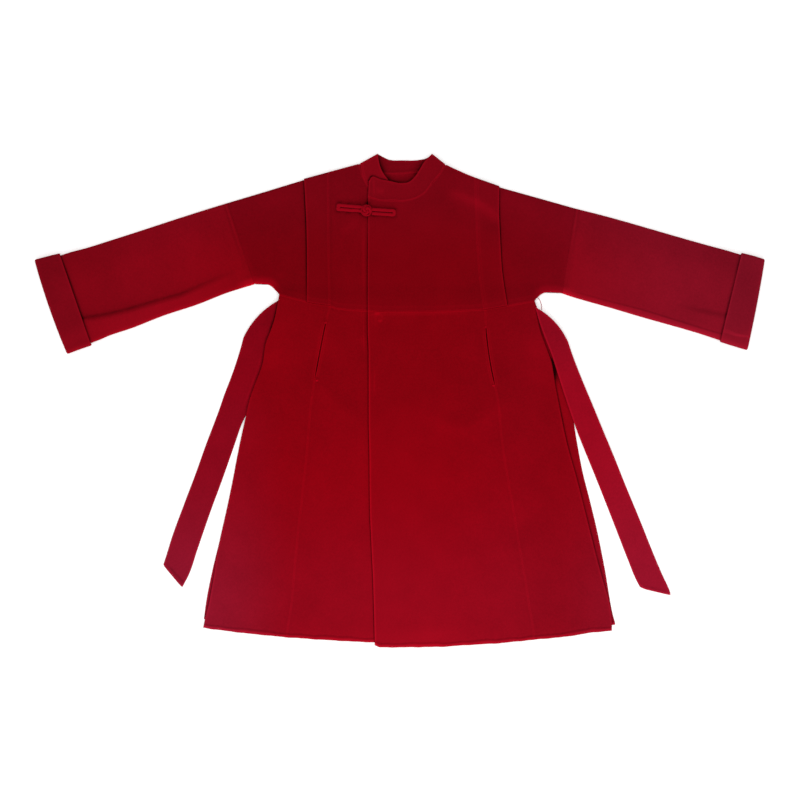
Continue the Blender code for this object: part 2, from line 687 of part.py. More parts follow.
def arm_section(scale):
    """Across an arm: two round cords side by side on a flat under side."""
    points = [(-ARM_WIDTH / 2, 0.0)]
    middle = ARM_WIDTH / 2 - CORD / 2
    for centre in (-middle, middle):
        for i in range(CORD_STEPS + 1):
            turn = pi - pi * i / CORD_STEPS
            z = ARM_HEIGHT - CORD / 2 + CORD / 2 * sin(turn)
            points.append((centre + CORD / 2 * cos(turn), z))
    points.append((ARM_WIDTH / 2, 0.0))
    return [(y * scale, z * scale) for y, z in points]


def frog_arm(name, arm, base):
    """Two cords side by side, with a wrapped square end."""
    length = hypot(arm.inner_x - arm.outer_x, arm.inner_y - arm.outer_y)
    along = ((arm.inner_x - arm.outer_x) / length, (arm.inner_y - arm.outer_y) / length)
    stations = ((0.0, ARM_END_SCALE), (WRAP_ROUND, WRAP_SCALE), (WRAP - WRAP_STEP, WRAP_SCALE),
                (WRAP, ARM_SCALE), (length / 2, ARM_SCALE), (length - WRAP_ROUND, ARM_SCALE),
                (length, ARM_END_SCALE))
    mesh = bpy.data.meshes.new(name)
    bm = bmesh.new()
    rings = []
    for distance, scale in stations:
        ring = []
        for y, z in arm_section(scale):
            place_x = arm.outer_x + along[0] * distance - along[1] * y
            place_y = arm.outer_y + along[1] * distance + along[0] * y
            ring.append(bm.verts.new((place_x * MM, place_y * MM, (base + z) * MM)))
        rings.append(ring)
    count = len(rings[0])
    for first, second in zip(rings, rings[1:]):
        for i in range(count):
            j = (i + 1) % count
            bm.faces.new((first[i], first[j], second[j], second[i]))
    bm.faces.new(rings[0])
    bm.faces.new(rings[-1])
    bmesh.ops.recalc_face_normals(bm, faces=bm.faces)
    bm.to_mesh(mesh)
    bm.free()
    return finish(name, mesh, BODICE_RED)


def make_frog():
    frog_arm("frog_arm_right", FROG_ARM_RIGHT, front_height(FROG_ARM_RIGHT.inner_x, KNOT_Y) + CLOTH + SEAM)
    frog_arm("frog_arm_left", FROG_ARM_LEFT, over_height(FROG_ARM_LEFT.inner_x, KNOT_Y) + CLOTH + SEAM)
    base = over_height(KNOT_X, KNOT_Y) + CLOTH + SEAM
    mesh = bpy.data.meshes.new("frog_knot")
    bm = bmesh.new()
    bmesh.ops.create_uvsphere(bm, u_segments=KNOT_SEGMENTS, v_segments=KNOT_RINGS, radius=1.0)
    for vert in bm.verts:
        vert.co.x *= KNOT_RADIUS * MM
        vert.co.y *= KNOT_RADIUS * MM
        vert.co.z *= KNOT_HEIGHT / 2 * MM
    bm.to_mesh(mesh)
    bm.free()
    knot = finish("frog_knot", mesh, BODICE_RED)
    knot.location = (KNOT_X * MM, KNOT_Y * MM, (base + KNOT_HEIGHT / 2) * MM)


def main():
    for item in list(bpy.data.objects):
        bpy.data.objects.remove(item, do_unlink=True)
    collection = bpy.data.collections.new(COLLECTION)
    bpy.context.scene.collection.children.link(collection)
    make_belt()
    make_skirts()
    make_bodice()
    make_collar()
    make_sleeves()
    make_frog()


main()
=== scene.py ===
"""The looks of the hanfu coat: felted wool panels, sewn seams, soft folds, the frog and the light.

Lengths are in millimetres and become metres where a mesh is made. X runs across the coat, with the
wearer's left at +X, Y runs from the hem up to the neck, and Z is up from the surface it lies on.
"""
from collections import namedtuple

import bpy
import numpy as np
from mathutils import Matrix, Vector


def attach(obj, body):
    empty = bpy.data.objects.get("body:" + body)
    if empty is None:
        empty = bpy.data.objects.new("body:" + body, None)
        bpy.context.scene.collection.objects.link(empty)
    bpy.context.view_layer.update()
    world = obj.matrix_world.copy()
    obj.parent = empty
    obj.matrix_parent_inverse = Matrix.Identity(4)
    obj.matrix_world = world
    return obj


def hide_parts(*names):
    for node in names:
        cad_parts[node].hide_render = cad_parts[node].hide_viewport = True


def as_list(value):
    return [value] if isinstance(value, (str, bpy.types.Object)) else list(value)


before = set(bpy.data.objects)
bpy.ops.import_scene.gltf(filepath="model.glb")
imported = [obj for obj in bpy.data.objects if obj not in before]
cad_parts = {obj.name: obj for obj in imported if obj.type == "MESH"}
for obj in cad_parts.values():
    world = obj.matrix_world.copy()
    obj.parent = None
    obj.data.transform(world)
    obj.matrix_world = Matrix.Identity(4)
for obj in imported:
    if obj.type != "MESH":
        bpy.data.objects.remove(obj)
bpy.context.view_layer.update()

MM = 0.001
TINY = 1e-6

# Cloth, as in the part
CLOTH = 2.3
BELT = 3
AIR = 0.5
SEAM = 0.3
PLY = CLOTH + AIR
BELT_PLY = BELT + AIR

# Belt behind the waist, and how far it lifts what lies on it
BELT_TOP_Y = 187
BELT_BOTTOM_Y = 135
LIFT_LOW_Y = 60
LIFT_FULL_Y = 200
LIFT_HIGH_Y = 234
TUCK_FULL = 16
TUCK_NONE = 64
TUCK_LOW_Y = -110
TUCK_HIGH_Y = -50
BELT_LEFT_DOWN_Y = -150
BELT_LEFT_UP_Y = -66

# Overlap of the fronts
UNDERLAP_X = 78
OVERLAP_FULL_X = 84
OVERLAP_NONE_X = 132

# The pocket slits: how far their lips stand apart, and how soon they close at the top
SLIT_GAP = 2.5
SLIT_TAPER = 6

# How sewn pieces meet: the gap left on each side of a seam, how far a strip settles into its seam, and
# the length of one stitch of the hem
HALF_SEAM = 0.03
STRIP_SETTLE = 1.4
STITCH = 14

# Sleeves and cuffs: how far before the cuff a sleeve begins to rise, and their heights
SLEEVE_RISE = 85
SLEEVE_HEIGHT = 2 * CLOTH + AIR
CUFF_HEIGHT = 4 * CLOTH + 3 * AIR

Band = namedtuple("Band", "low_x low_y high_x high_y spring")
Ring = namedtuple("Ring", "upper_x upper_y lower_x lower_y")
BeltRow = namedtuple("BeltRow", "outer_x outer_y inner_x inner_y bow", defaults=(0,))
Slit = namedtuple("Slit", "low high low_taper")

RIGHT_SLIT = Slit(38, 156, 30)
LEFT_SLIT = Slit(29, 148, 16)


def table(*rows):
    """A table of two columns, sorted by its first one."""
    return np.array(sorted(rows), float)


def rows_of(kind, *rows):
    """A list of rows with named columns."""
    return [kind(*row) for row in rows]


# Edges that run up the coat: y, x
FRONT_EDGE = table(
    (-489, -49.6), (-430, -51), (-350, -53.4), (-310, -55.4), (-270, -57.2), (-230, -59), (-190, -59.8),
    (-110, -60.4), (-40, -61.9), (98, -62), (140, -63.6), (250, -63.8), (367, -63), (407, -63))
HIDDEN_EDGE = table((-489, UNDERLAP_X), (407, UNDERLAP_X))
SIDE_RIGHT = table(
    (-456, -393), (-431, -387.5), (-400, -380), (-380, -376.5), (-350, -371), (-329, -368), (-310, -365.5),
    (-280, -359.5), (-220, -346), (-160, -333.5), (-100, -322), (-36, -308), (2, -299.5), (24, -291.8),
    (44, -284.1), (64, -276.4), (79, -272.2), (100, -269.6), (112, -267.4), (140, -257), (166, -248.5),
    (212, -240))
BACK_SIDE_RIGHT = table(
    (-437, -391), (-400, -386), (-340, -374), (-280, -359.5), (-220, -346), (-160, -333.5), (-100, -322),
    (-60, -311.5), (-36, -304), (2, -292.5), (30, -283.5), (50, -275), (70, -267.5), (90, -264.5),
    (112, -261), (166, -245), (212, -238))
SIDE_LEFT = table(
    (-462, 424.5), (-440, 424.5), (-420, 422.5), (-400, 418.5), (-362, 407.5), (-320, 395.8), (-240, 375.6),
    (-160, 355.4), (-80, 333.4), (0, 317.2), (30, 311.5), (76, 304), (99, 295.9), (137, 281.8), (176, 273),
    (199, 270))
BACK_SIDE_LEFT = table(
    (-447, 431.5), (-420, 424.6), (-340, 411), (-260, 395), (-200, 380.6), (-140, 365.5), (-80, 354.2),
    (-60, 350.8), (-45, 348.8), (20, 333.5), (84, 312), (140, 292), (199, 270))
PRINCESS_RIGHT = table(
    (-470, -225), (-450, -222.5), (-410, -216.3), (-370, -212.3), (-330, -209.5), (-291, -205.3),
    (-251, -201.6), (-211, -196.4), (-172, -192.6), (-132, -187.9), (-92, -184.4), (-52, -180.8),
    (-12, -177.6), (27, -172), (66, -165), (106, -157.3), (156, -147), (190, -138))
PRINCESS_LEFT = table(
    (-470, 269), (-440, 264.6), (-410, 259.2), (-371, 253.5), (-332, 246.6), (-292, 239.9), (-253, 233.2),
    (-213, 226.8), (-174, 219.5), (-134, 213), (-95, 206.7), (-55, 202), (-40, 200.8), (-16, 199), (5, 196),
    (23, 192.3), (32, 190.2), (63, 183.6), (103, 177), (142, 172.8), (182, 171))
STRIP_SEAM_RIGHT = table((188, -139.5), (217, -140), (280, -141.5), (340, -142), (455, -142.5))
STRIP_EDGE_RIGHT = table((195, -185), (268, -185), (340, -185.8), (400, -188.4), (446, -191))
STRIP_SEAM_LEFT = table((180, 169.5), (240, 161.3), (274, 158), (324, 155.2), (425, 151.7), (446, 151.2))
STRIP_EDGE_LEFT = table((187, 216), (226, 209.6), (268, 204.3), (330, 201), (380, 199), (430, 199.5))

# The side bodices' outer edges, points from the waist round the underarm and up the armhole
ARMHOLE_RIGHT = [(-240.4, 212), (-242.6, 215), (-246.6, 219), (-250.5, 223), (-254.6, 227.2), (-258.4, 230),
                 (-263, 231.9), (-270, 232.9), (-278, 233.1), (-285, 232.8), (-290.3, 232), (-344, 394.5)]
ARMHOLE_LEFT = [(270, 199), (271.2, 201), (273.1, 203.4), (277.1, 207.2), (281.8, 211.2), (286, 213.9),
                (290, 215.5), (296, 216.2), (304, 216), (311, 215.6), (318, 214.9), (325.3, 213.8),
                (352, 383.5)]

# Edges that run across the coat: x, y
WAIST = table(
    (-240, 212), (-176, 195), (-138, 189.5), (-127, 184.5), (-108, 182), (-99, 181), (-78, 180),
    (-66, 179.3), (-40, 177.3), (0, 177), (OVERLAP_FULL_X, 178), (OVERLAP_NONE_X, 180), (171, 182),
    (217, 190), (270, 199))
BACK_WAIST = table((-240, 212), (-176, 200), (-80, 190), (100, 190), (200, 193), (270, 199))
HEM_UNDER = table(
    (-391, -454), (-374, -457), (-310, -465), (-230, -473), (-158, -478), (-98, -481.5), (-51, -483.5),
    (UNDERLAP_X, -484))
HEM_OVER = table(
    (-49, -489), (-40, -493), (0, -493), (OVERLAP_FULL_X, -492), (OVERLAP_NONE_X, -489), (202, -485),
    (254, -479.5), (334, -472), (382, -464), (424, -460))
HEM_BACK = table(
    (-391, -437), (-300, -452), (-100, -472), (100, -476), (300, -465), (380, -456), (432, -448))
SHOULDER_RIGHT = table((-344, 394.5), (-262, 419), (-192, 440.5), (-141, 456.5), (-79, 473.5))
SHOULDER_LEFT = table(
    (91, 472), (114, 460.5), (142, 449), (178, 434.5), (202, 425.5), (254, 411), (352, 383.5))
BACK_TOP = table(
    (-344, 394.5), (-192, 440), (-79, 473.5), (-57, 463), (-33, 455), (2, 454), (37, 458), (68, 464),
    (91, 472), (142, 449), (202, 425.5), (352, 383.5))
STRIP_TOP_RIGHT = table((-192, 442.5), (-142.5, 456))
STRIP_TOP_LEFT = table((151, 445.4), (202, 427.5))
FRONT_TOP_RIGHT = table(
    (-144, 455.6), (-141, 456.5), (-79, 473.5), (-75, 450), (-60, 422), (-36, 401), (2, 391), (40, 392),
    (UNDERLAP_X, 403))
FRONT_TOP_LEFT = table(
    (-63.2, 407), (-41, 400), (8, 398.5), (32, 404.2), (49, 413.6), (60, 428), (74, 445), (83, 456),
    (91, 472), (114, 460.5), (142, 449), (154, 444.2))

# Stretches of the collar band: seam edge, free edge, and how far the free edge stands up
COLLAR_OVER_ROWS = rows_of(
    Band, (-63.2, 407, -61.3, 438, 0.4), (-57, 405, -55, 447, 0.8), (-41, 400, -38, 442, 1.5),
    (-16, 399.4, -18, 438, 2.5), (8, 398.5, 3, 434, 3), (32, 404, 18, 436, 3.5),
    (49, 413.6, 30, 446, 4), (66.5, 436.5, 40, 461, 4.5), (82.5, 455.5, 50, 477, 4.5),
    (91, 472.3, 65, 492.5, 3))
COLLAR_UNDER_ROWS = rows_of(
    Band, (-78.6, 474, -43, 493, 3), (-76.7, 462, -42, 482, 5), (-74.6, 450, -37, 463, 4.5),
    (-59.8, 422.2, -26, 445, 1.5), (-36, 401, -12, 432, 0), (2, 391, 15, 425, 0),
    (40, 392, 45, 427, 0), (68, 400, 66, 432, 0))
COLLAR_BACK_ROWS = rows_of(
    Band, (-78.6, 474, -43.5, 492.7, 0), (-57, 463, -35, 488, 0.2), (-33, 455, -23, 482, 0.8),
    (2, 454, 8, 480, 1.2), (37, 458, 40, 481, 0.8), (68, 464, 53, 484, 0.2), (91, 472, 65, 491.5, 0))

# Sleeves from the armhole to the fold of the cuff: upper edge, lower edge
SLEEVE_RIGHT_ROWS = rows_of(
    Ring, (-344.3, 394.6, -290.3, 232), (-390, 380.5, -342, 216), (-454, 360, -406, 191),
    (-518, 339, -470, 170), (-582, 318.5, -534, 145), (-630, 303.5, -580, 129.5), (-655, 297, -597, 122),
    (-678, 289.5, -614, 115.5), (-722, 276, -658.5, 100))
SLEEVE_LEFT_ROWS = rows_of(
    Ring, (352.3, 383.5, 325.3, 213.8), (366.2, 380, 340, 208.6), (398, 372, 374, 198.5),
    (446, 359, 422, 185), (510, 340.5, 486, 166), (574, 322, 550, 148), (622, 308.5, 598, 134),
    (655, 299.5, 622, 126), (681, 291.5, 640, 120), (722, 280, 687.5, 106.5))
CUFF_RIGHT_ROWS = rows_of(
    Ring, (-679, 294, -615, 110), (-704, 288, -640, 101.5), (-726.5, 282, -661, 93.5),
    (-730, 279, -665, 97))
CUFF_LEFT_ROWS = rows_of(
    Ring, (683, 295, 640, 117), (706, 289.5, 667, 108.5), (727, 283, 692, 101), (730, 280, 696, 104))
# How far the middle of each cuff's fold stands out
CUFF_BOW = {"right": 3.5, "left": 1.5}

# The belt's ends from their diagonal folds down
BELT_RIGHT_ROWS = rows_of(
    BeltRow, (-311.8, 125.5, -241, 200.5, 8.4), (-315, 113, -246, 152), (-325, 80, -256, 115),
    (-338, 43, -270, 66), (-350, 12, -284, 25), (-361, -20, -298, -12), (-373, -52, -315, -46),
    (-386, -86, -329, -86), (-407, -145, -352, -152), (-432, -211, -377, -220), (-457, -280, -404, -298),
    (-464, -303, -421, -348), (-472, -328, -434, -373))
BELT_LEFT_ROWS = rows_of(
    BeltRow, (337, 116, 270.5, 187, 8.4), (341.6, 102, 281.5, 149), (345.8, 90, 291.5, 122),
    (350.3, 78, 303.5, 92), (365.4, 40, 320.2, 40), (386.3, -10, 338.6, -16), (411, -70, 358, -70),
    (432, -120, 378.4, -120), (452, -170, 401, -176), (481, -240, 430, -250), (509, -310, 458, -322),
    (527, -352, 470.5, -353), (536, -371, 477, -366), (540.5, -382, 481.5, -373),
    (542, -388.5, 486.5, -375.5))


# Reading tables and lines

def curve(rows, at):
    """Read a table's second column at values of its first one, along a smooth line with no overshoot."""
    keys, values = rows[:, 0], rows[:, 1]
    steps = np.diff(keys)
    rises = np.diff(values) / steps
    slopes = np.empty(len(keys))
    slopes[0], slopes[-1] = rises[0], rises[-1]
    before, after = rises[:-1], rises[1:]
    same = before * after > 0
    total = np.where(same, before + after, 1)
    slopes[1:-1] = np.where(same, 2 * before * after / total, 0)
    at = np.clip(np.asarray(at, float), keys[0], keys[-1])
    spot = np.clip(np.searchsorted(keys, at, side="right") - 1, 0, len(steps) - 1)
    step = steps[spot]
    w = (at - keys[spot]) / step
    start = values[spot] * (1 + 2 * w) * (1 - w) ** 2 + slopes[spot] * step * w * (1 - w) ** 2
    end = values[spot + 1] * w * w * (3 - 2 * w) - slopes[spot + 1] * step * w * w * (1 - w)
    return start + end


def line(rows, at):
    """Read a table's second column along straight lines between its rows."""
    return np.interp(at, rows[:, 0], rows[:, 1])


def smooth(value, zero, one):
    """0 at one value and 1 at the other, with an easy start and end."""
    w = np.clip((value - zero) / (one - zero), 0, 1)
    return w * w * (3 - 2 * w)


def bell(value, width):
    return np.exp(-(value / width) ** 2)


def steps_of(path):
    """The length of each stretch of a path, seen from above."""
    return np.hypot(*np.diff(path[:, :2], axis=0).T)


def evenly(path, places):
    """Points of a path at shares of its length."""
    path = np.asarray(path, float)
    lengths = np.concatenate([[0], np.cumsum(steps_of(path))])
    at = np.asarray(places) * lengths[-1]
    return np.stack([np.interp(at, lengths, path[:, k]) for k in range(path.shape[1])], axis=-1)


def distance(x, y, path):
    """How far points lie from a path, on which side (1 to its left), and where along it (0 to 1)."""
    path = np.asarray(path, float)
    lengths = steps_of(path)
    before = np.concatenate([[0], np.cumsum(lengths)])
    best = np.full(np.shape(x), np.inf)
    side = np.zeros(np.shape(x))
    where = np.zeros(np.shape(x))
    for start, end, length, passed in zip(path, path[1:], lengths, before):
        along_x, along_y = (end - start) / length
        off_x, off_y = x - start[0], y - start[1]
        share = np.clip(off_x * along_x + off_y * along_y, 0, length)
        gap = np.hypot(off_x - share * along_x, off_y - share * along_y)
        near = gap < best
        best = np.where(near, gap, best)
        side = np.where(near, np.sign(along_x * off_y - along_y * off_x), side)
        where = np.where(near, (passed + share) / before[-1], where)
    return best, side, where


def spread(values, where):
    """Values spread evenly along a line, read at shares of it."""
    return np.interp(where, np.linspace(0, 1, len(values)), values)


def circle(centre_x, centre_y, radius, turn):
    return np.stack([centre_x + radius * np.cos(turn), centre_y + radius * np.sin(turn)], axis=-1)


# Heights of the plies

def belt_lift(y):
    low = smooth(y, LIFT_LOW_Y, BELT_BOTTOM_Y)
    high = smooth(y, LIFT_HIGH_Y, LIFT_FULL_Y)
    return BELT_PLY * np.minimum(low, high)


def tuck_lift(x, y):
    inside = x - curve(SIDE_RIGHT, y)
    reach = np.minimum(smooth(y, TUCK_LOW_Y, TUCK_HIGH_Y), smooth(y, LIFT_HIGH_Y, LIFT_FULL_Y))
    return BELT_PLY * smooth(inside, TUCK_NONE, TUCK_FULL) * reach


def back_height(x, y):
    return belt_lift(y) + tuck_lift(x, y)


def front_height(x, y):
    return back_height(x, y) + PLY


def over_height(x, y):
    return front_height(x, y) + PLY * smooth(x, OVERLAP_NONE_X, OVERLAP_FULL_X)


def strip_height(x, y):
    return front_height(x, y) + PLY


def belt_right_height(x, y):
    return belt_lift(y)


def belt_left_height(x, y):
    return belt_lift(y) + PLY * smooth(y, BELT_LEFT_DOWN_Y, BELT_LEFT_UP_Y)


# Soft relief of the plies that show, in millimetres, and the painted light and shade on the cloth there (its
# tone)

Fold = namedtuple("Fold", "path above below height tone")
Shade = namedtuple("Shade", "path width depth dark strengths")


def fold_relief(x, y, fold):
    """A ridge (or, with a negative height, a hollow) along a path, which fades out at both ends."""
    gap, side, where = distance(x, y, fold.path)
    fade = smooth(where, 0, 0.3) * smooth(where, 1, 0.7)
    return bell(gap, np.where(side > 0, fold.above, fold.below)) * fade


def shade_relief(x, y, shade):
    """The crevice at the foot of an edge that lies on the cloth, and the painted shade in it, as strong as
    its strengths along it say.
    """
    gap, _, where = distance(x, y, shade.path)
    strength = spread(shade.strengths, where)
    return strength * (0.9 * bell(gap, shade.width) + 0.1 * bell(gap, 3 * shade.width))


def folded(folds=(), shades=(), washes=()):
    """A relief function of a panel: its folds and their painted highlights, its crevices and their painted
    shade, and washes of painted light and shade.
    """
    def relief(x, y):
        extra = np.zeros(np.shape(x))
        tone = np.zeros(np.shape(x))
        for fold in folds:
            share = fold_relief(x, y, fold)
            extra = extra + fold.height * share
            tone = tone + fold.tone * share
        for shade in shades:
            share = shade_relief(x, y, shade)
            extra = extra - shade.depth * share
            tone = tone - shade.dark * share
        for wash in washes:
            tone = tone + wash(x, y)
        return extra, tone
    return relief


# Edge profiles: how far the cloth's upper face falls, its under side rises, what ridge is added

def rounding(gap, radius, depth):
    """How much a rounded edge takes off at a distance from it."""
    w = np.clip(1 - gap / radius, 0, 1)
    return depth * (1 - np.sqrt(np.maximum(1 - w * w, 0)))


def bells(gap, rows):
    """A sum of bells: the strength of each, how far from the edge it is, and its width."""
    return sum(strength * bell(gap - at, width) for strength, at, width in rows)


# A closed seam: both plies stand up a little towards it, with a fine crease where they meet
SEAM_RIDGE = ((0.60, 1, 1.6), (-0.40, 0, 0.5))
# Its tone: a painted highlight on the raised lips, and faint painted shade further out
SEAM_TONE = ((0.38, 0.6, 1.3), (-0.04, 4.5, 2.2))
# The hidden edge of a seam's allowance, which presses through the cloth
ALLOWANCE_RIDGE = ((0.25, 0, 2),)
# Its tone: a painted highlight along that edge
ALLOWANCE_TONE = ((0.14, 0, 1.5),)
# A turned and stitched edge: a roll along it and a groove where the stitches pull it in
HEM_RIDGE = ((0.7, 4.2, 2.8), (-0.6, 9, 1.3))

# Kinds of edge: how far in each starts, the bells of its ridge, and the bells of its tone: painted
# highlights along seams, allowances, free and lit edges, and painted shade along a pressed one
PROFILES = {
    "seam": (0, SEAM_RIDGE, SEAM_TONE),
    "seam_above": (0, ((0.30, 1, 1.6), (-0.20, 0, 0.5)), SEAM_TONE + ((0.10, 4.5, 3.5),)),
    "allowance": (9.8, ALLOWANCE_RIDGE, ALLOWANCE_TONE),
    "near_allowance": (5, ALLOWANCE_RIDGE, ALLOWANCE_TONE),
    "free": (0, ((0.35, 2.6, 2),), ((0.32, 1.5, 1.6),)),
    "lit": (0, (), ((0.30, 1.8, 2),)),
    "pressed": (0, ((-0.3, 0, 2),), ((-0.07, 1.6, 1.6),)),
}
# What a rounded edge leaves of the cloth: half the rim of a free edge, and the whole rim where one face
# alone is rounded; and how far in the rounding begins, on cloth that lies over or under another piece
RIM_HALF = 0.02
RIM_WHOLE = 0.15
OVER_ROUND = 6
UNDER_ROUND = 4
# Kinds that raise or lower a strip beside its seam: by how much, and how far in
SETTLES = {"raised": (STRIP_SETTLE, 12), "lowered": (-STRIP_SETTLE, 9)}


# A hem's painted highlight on its roll, and painted shade in the groove its stitches pull in, uneven stitch
# by stitch
def hem_tone(gap, along):
    stitch = 0.8 + 0.3 * np.sin(along * 2 * np.pi / STITCH + 1.5 * np.sin(along / 17))
    return 0.50 * bell(gap - 2.4, 2.8) - 0.21 * stitch * bell(gap - 8.4, 1.4)


def hem_waver(along):
    """How far a hem's stitches wander from their line."""
    return 0.6 * np.sin(along / 21) + 0.5 * np.sin(along / 7.7 + 1)


def underarm_rim(path, weight):
    """A wash of light on the rolled edge below the arm, which runs on from the bodice to the sleeve."""
    def wash(x, y):
        gap, _, where = distance(x, y, path)
        fade = smooth(where, 0, 0.25) * smooth(where, 1, 0.65)
        return weight * fade * (0.85 * bell(gap - 0.8, 2.4) + 0.50 * smooth(gap, 17, 8))
    return wash


RIM_RIGHT = underarm_rim(ARMHOLE_RIGHT[:-1] + [(-330, 218.5)], 1)
RIM_LEFT = underarm_rim(ARMHOLE_LEFT[:-1] + [(365, 201)], 0.75)


class Shape:
    """What the edges do to a sheet at each of its points."""

    def __init__(self, size):
        self.fall = np.zeros(size)
        self.rise = np.zeros(size)
        self.ridge = np.zeros(size)
        self.tone = np.zeros(size)

    def add(self, kind, gap, along, weight, thickness):
        start, ridge, tone = PROFILES.get(kind, (0, (), ()))
        self.ridge += weight * bells(gap - start, ridge)
        self.tone += weight * bells(gap - start, tone)
        if kind in SETTLES:
            height, reach = SETTLES[kind]
            self.ridge += weight * height * smooth(gap, reach, 0)
        if kind in ("free", "hemmed"):
            rim = weight * rounding(gap, thickness * 0.8, thickness / 2 - RIM_HALF)
            self.fall = np.maximum(self.fall, rim)
            self.rise = np.maximum(self.rise, rim)
        if kind == "hemmed":
            wavering = np.maximum(gap + hem_waver(along) * smooth(gap, 1, 6), 0)
            self.ridge += weight * bells(wavering, HEM_RIDGE)
            self.tone += weight * hem_tone(wavering, along)
        if kind == "over":
            self.fall = np.maximum(self.fall, weight * rounding(gap, OVER_ROUND, thickness - RIM_WHOLE))
        if kind == "under":
            self.rise = np.maximum(self.rise, weight * rounding(gap, UNDER_ROUND, thickness - RIM_WHOLE))

    def add_edges(self, x, y, path, kinds, thickness):
        """What all the kinds at one border line do."""
        gap, _, where = distance(x, y, path)
        along = where * np.sum(steps_of(path))
        for kind, weight in kinds:
            self.add(kind, gap, along, weight(x, y) if callable(weight) else weight, thickness)


# Grids: how far from an edge their lines lie, from the edge inwards, and on both sides of a crevice

MARGINS = np.array([0, 0.1, 0.35, 0.8, 1.4, 2.1, 3, 4.2, 5.6, 7, 8.2, 9.6, 12, 15.5])
FEW_MARGINS = np.array([0, 0.1, 0.35, 0.8, 1.4, 2.2, 3.4, 5.2])
BELT_MARGINS = np.array([0, 0.1, 0.35, 0.8, 1.4, 2.2, 3.2, 4.4, 5.8, 7.6, 10])
WIDE_MARGINS = np.concatenate([MARGINS[:-1], np.arange(13.2, 36, 1.2)])
CREVICE_STEPS = np.array([-5, -3.6, -2.6, -1.8, -1.1, -0.5, 0, 0.5, 1.1, 1.8, 2.6, 3.6, 5])
# A length holds its margins in full when it is this many times as long as the widest of them
MARGIN_SHARE = 2.6
# Points of a border line, and shares of it where its distance to the grid is measured
BORDER_POINTS = 160
SAMPLES = np.linspace(0, 1, 60)


def filled(start, end, cell):
    """Places between two distances on each row, about one cell apart."""
    inner = max(2, int(round((end - start).max() / cell)))
    return start[:, None] + (end - start)[:, None] * np.arange(1, inner) / inner


def spacing(lengths, cell, margins, crevice=None):
    """Shares across rows of the given lengths: fine by both edges and at a crevice, else one cell apart."""
    lengths = np.asarray(lengths, float)
    low = margins[None, :] * np.minimum(1, lengths / (MARGIN_SHARE * margins[-1]))[:, None]
    high = lengths[:, None] - low[:, ::-1]
    parts = [low]
    if crevice is not None:
        fine = crevice[:, None] + CREVICE_STEPS
        parts += [filled(low[:, -1], fine[:, 0], cell), fine]
    parts += [filled(parts[-1][:, -1], high[:, 0], cell), high]
    return np.concatenate(parts, axis=1) / lengths[:, None]


def patch(low, high, left, right, cell, margins=MARGINS, upon=None):
    """A grid of points inside four border lines, fine along them and where the edge upon lies on the cloth.

    Rows run from low to high, and upon gives the edge's x at a height y.
    """
    heights = np.hypot(*(evenly(high, [0, 0.5, 1]) - evenly(low, [0, 0.5, 1])).T)
    up = spacing([heights.max()], cell, margins)[0]
    left_points, right_points = evenly(left, up), evenly(right, up)
    widths = np.hypot(*(right_points - left_points).T)
    crevice = None
    if upon:
        inside = upon((left_points[:, 1] + right_points[:, 1]) / 2) - left_points[:, 0]
        crevice = widths * inside / (right_points[:, 0] - left_points[:, 0])
    s = spacing(widths, cell, margins, crevice)
    t = np.repeat(up[:, None], s.shape[1], axis=1)
    blend = (1 - t)[..., None] * evenly(low, s) + t[..., None] * evenly(high, s)
    blend += (1 - s)[..., None] * left_points[:, None, :] + s[..., None] * right_points[:, None, :]
    blend -= ((1 - s) * (1 - t))[..., None] * low[0] + (s * (1 - t))[..., None] * low[-1]
    blend -= ((1 - s) * t)[..., None] * high[0] + (s * t)[..., None] * high[-1]
    return blend[..., 0], blend[..., 1]


# Where a painted cool tint of the light falls on the cloth: by how much, from where to where across the coat
# (x), and up it (y)
COOL_LIGHT_PATCHES = ((0.015, None, (-120, -430)), (0.012, None, (260, 440)),
        (0.038, (-190, -440), (-60, -430)), (0.020, (300, 460), (60, -430)),
        (0.036, (200, 620), (20, 160)), (0.004, (80, 260), None),
        (0.010, (-215, -330), (60, -60)), (0.010, (-240, -560), (20, 160)))


def haze(x, y):
    """How much painted cool light tints the cloth away from the coat's middle: blue as a share of the red.
    """
    away = np.zeros(np.shape(x))
    for strength, across, up in COOL_LIGHT_PATCHES:
        here = strength * smooth(x, *across) if across else strength
        away = away + (here * smooth(y, *up) if up else here)
    return away


def placed(name, data):
    """A new object in the scene."""
    item = bpy.data.objects.new(name, data)
    bpy.context.scene.collection.objects.link(item)
    return item


def make_mesh(name, verts, faces, tones, material):
    """A smooth-shaded mesh in metres, with its painted light and shade (tone) and its painted cool light as
    attributes of the points.
    """
    mesh = bpy.data.meshes.new(name)
    mesh.from_pydata((np.asarray(verts) * MM).tolist(), [], faces)
    mesh.polygons.foreach_set("use_smooth", [True] * len(mesh.polygons))
    x, y = np.asarray(verts)[:, :2].T
    for label, values in (("tone", tones), ("haze", haze(x, y))):
        attribute = mesh.attributes.new(label, "FLOAT", "POINT")
        attribute.data.foreach_set("value", np.asarray(values, np.float32))
    mesh.materials.append(material)
    mesh.update()
    return placed(name, mesh)


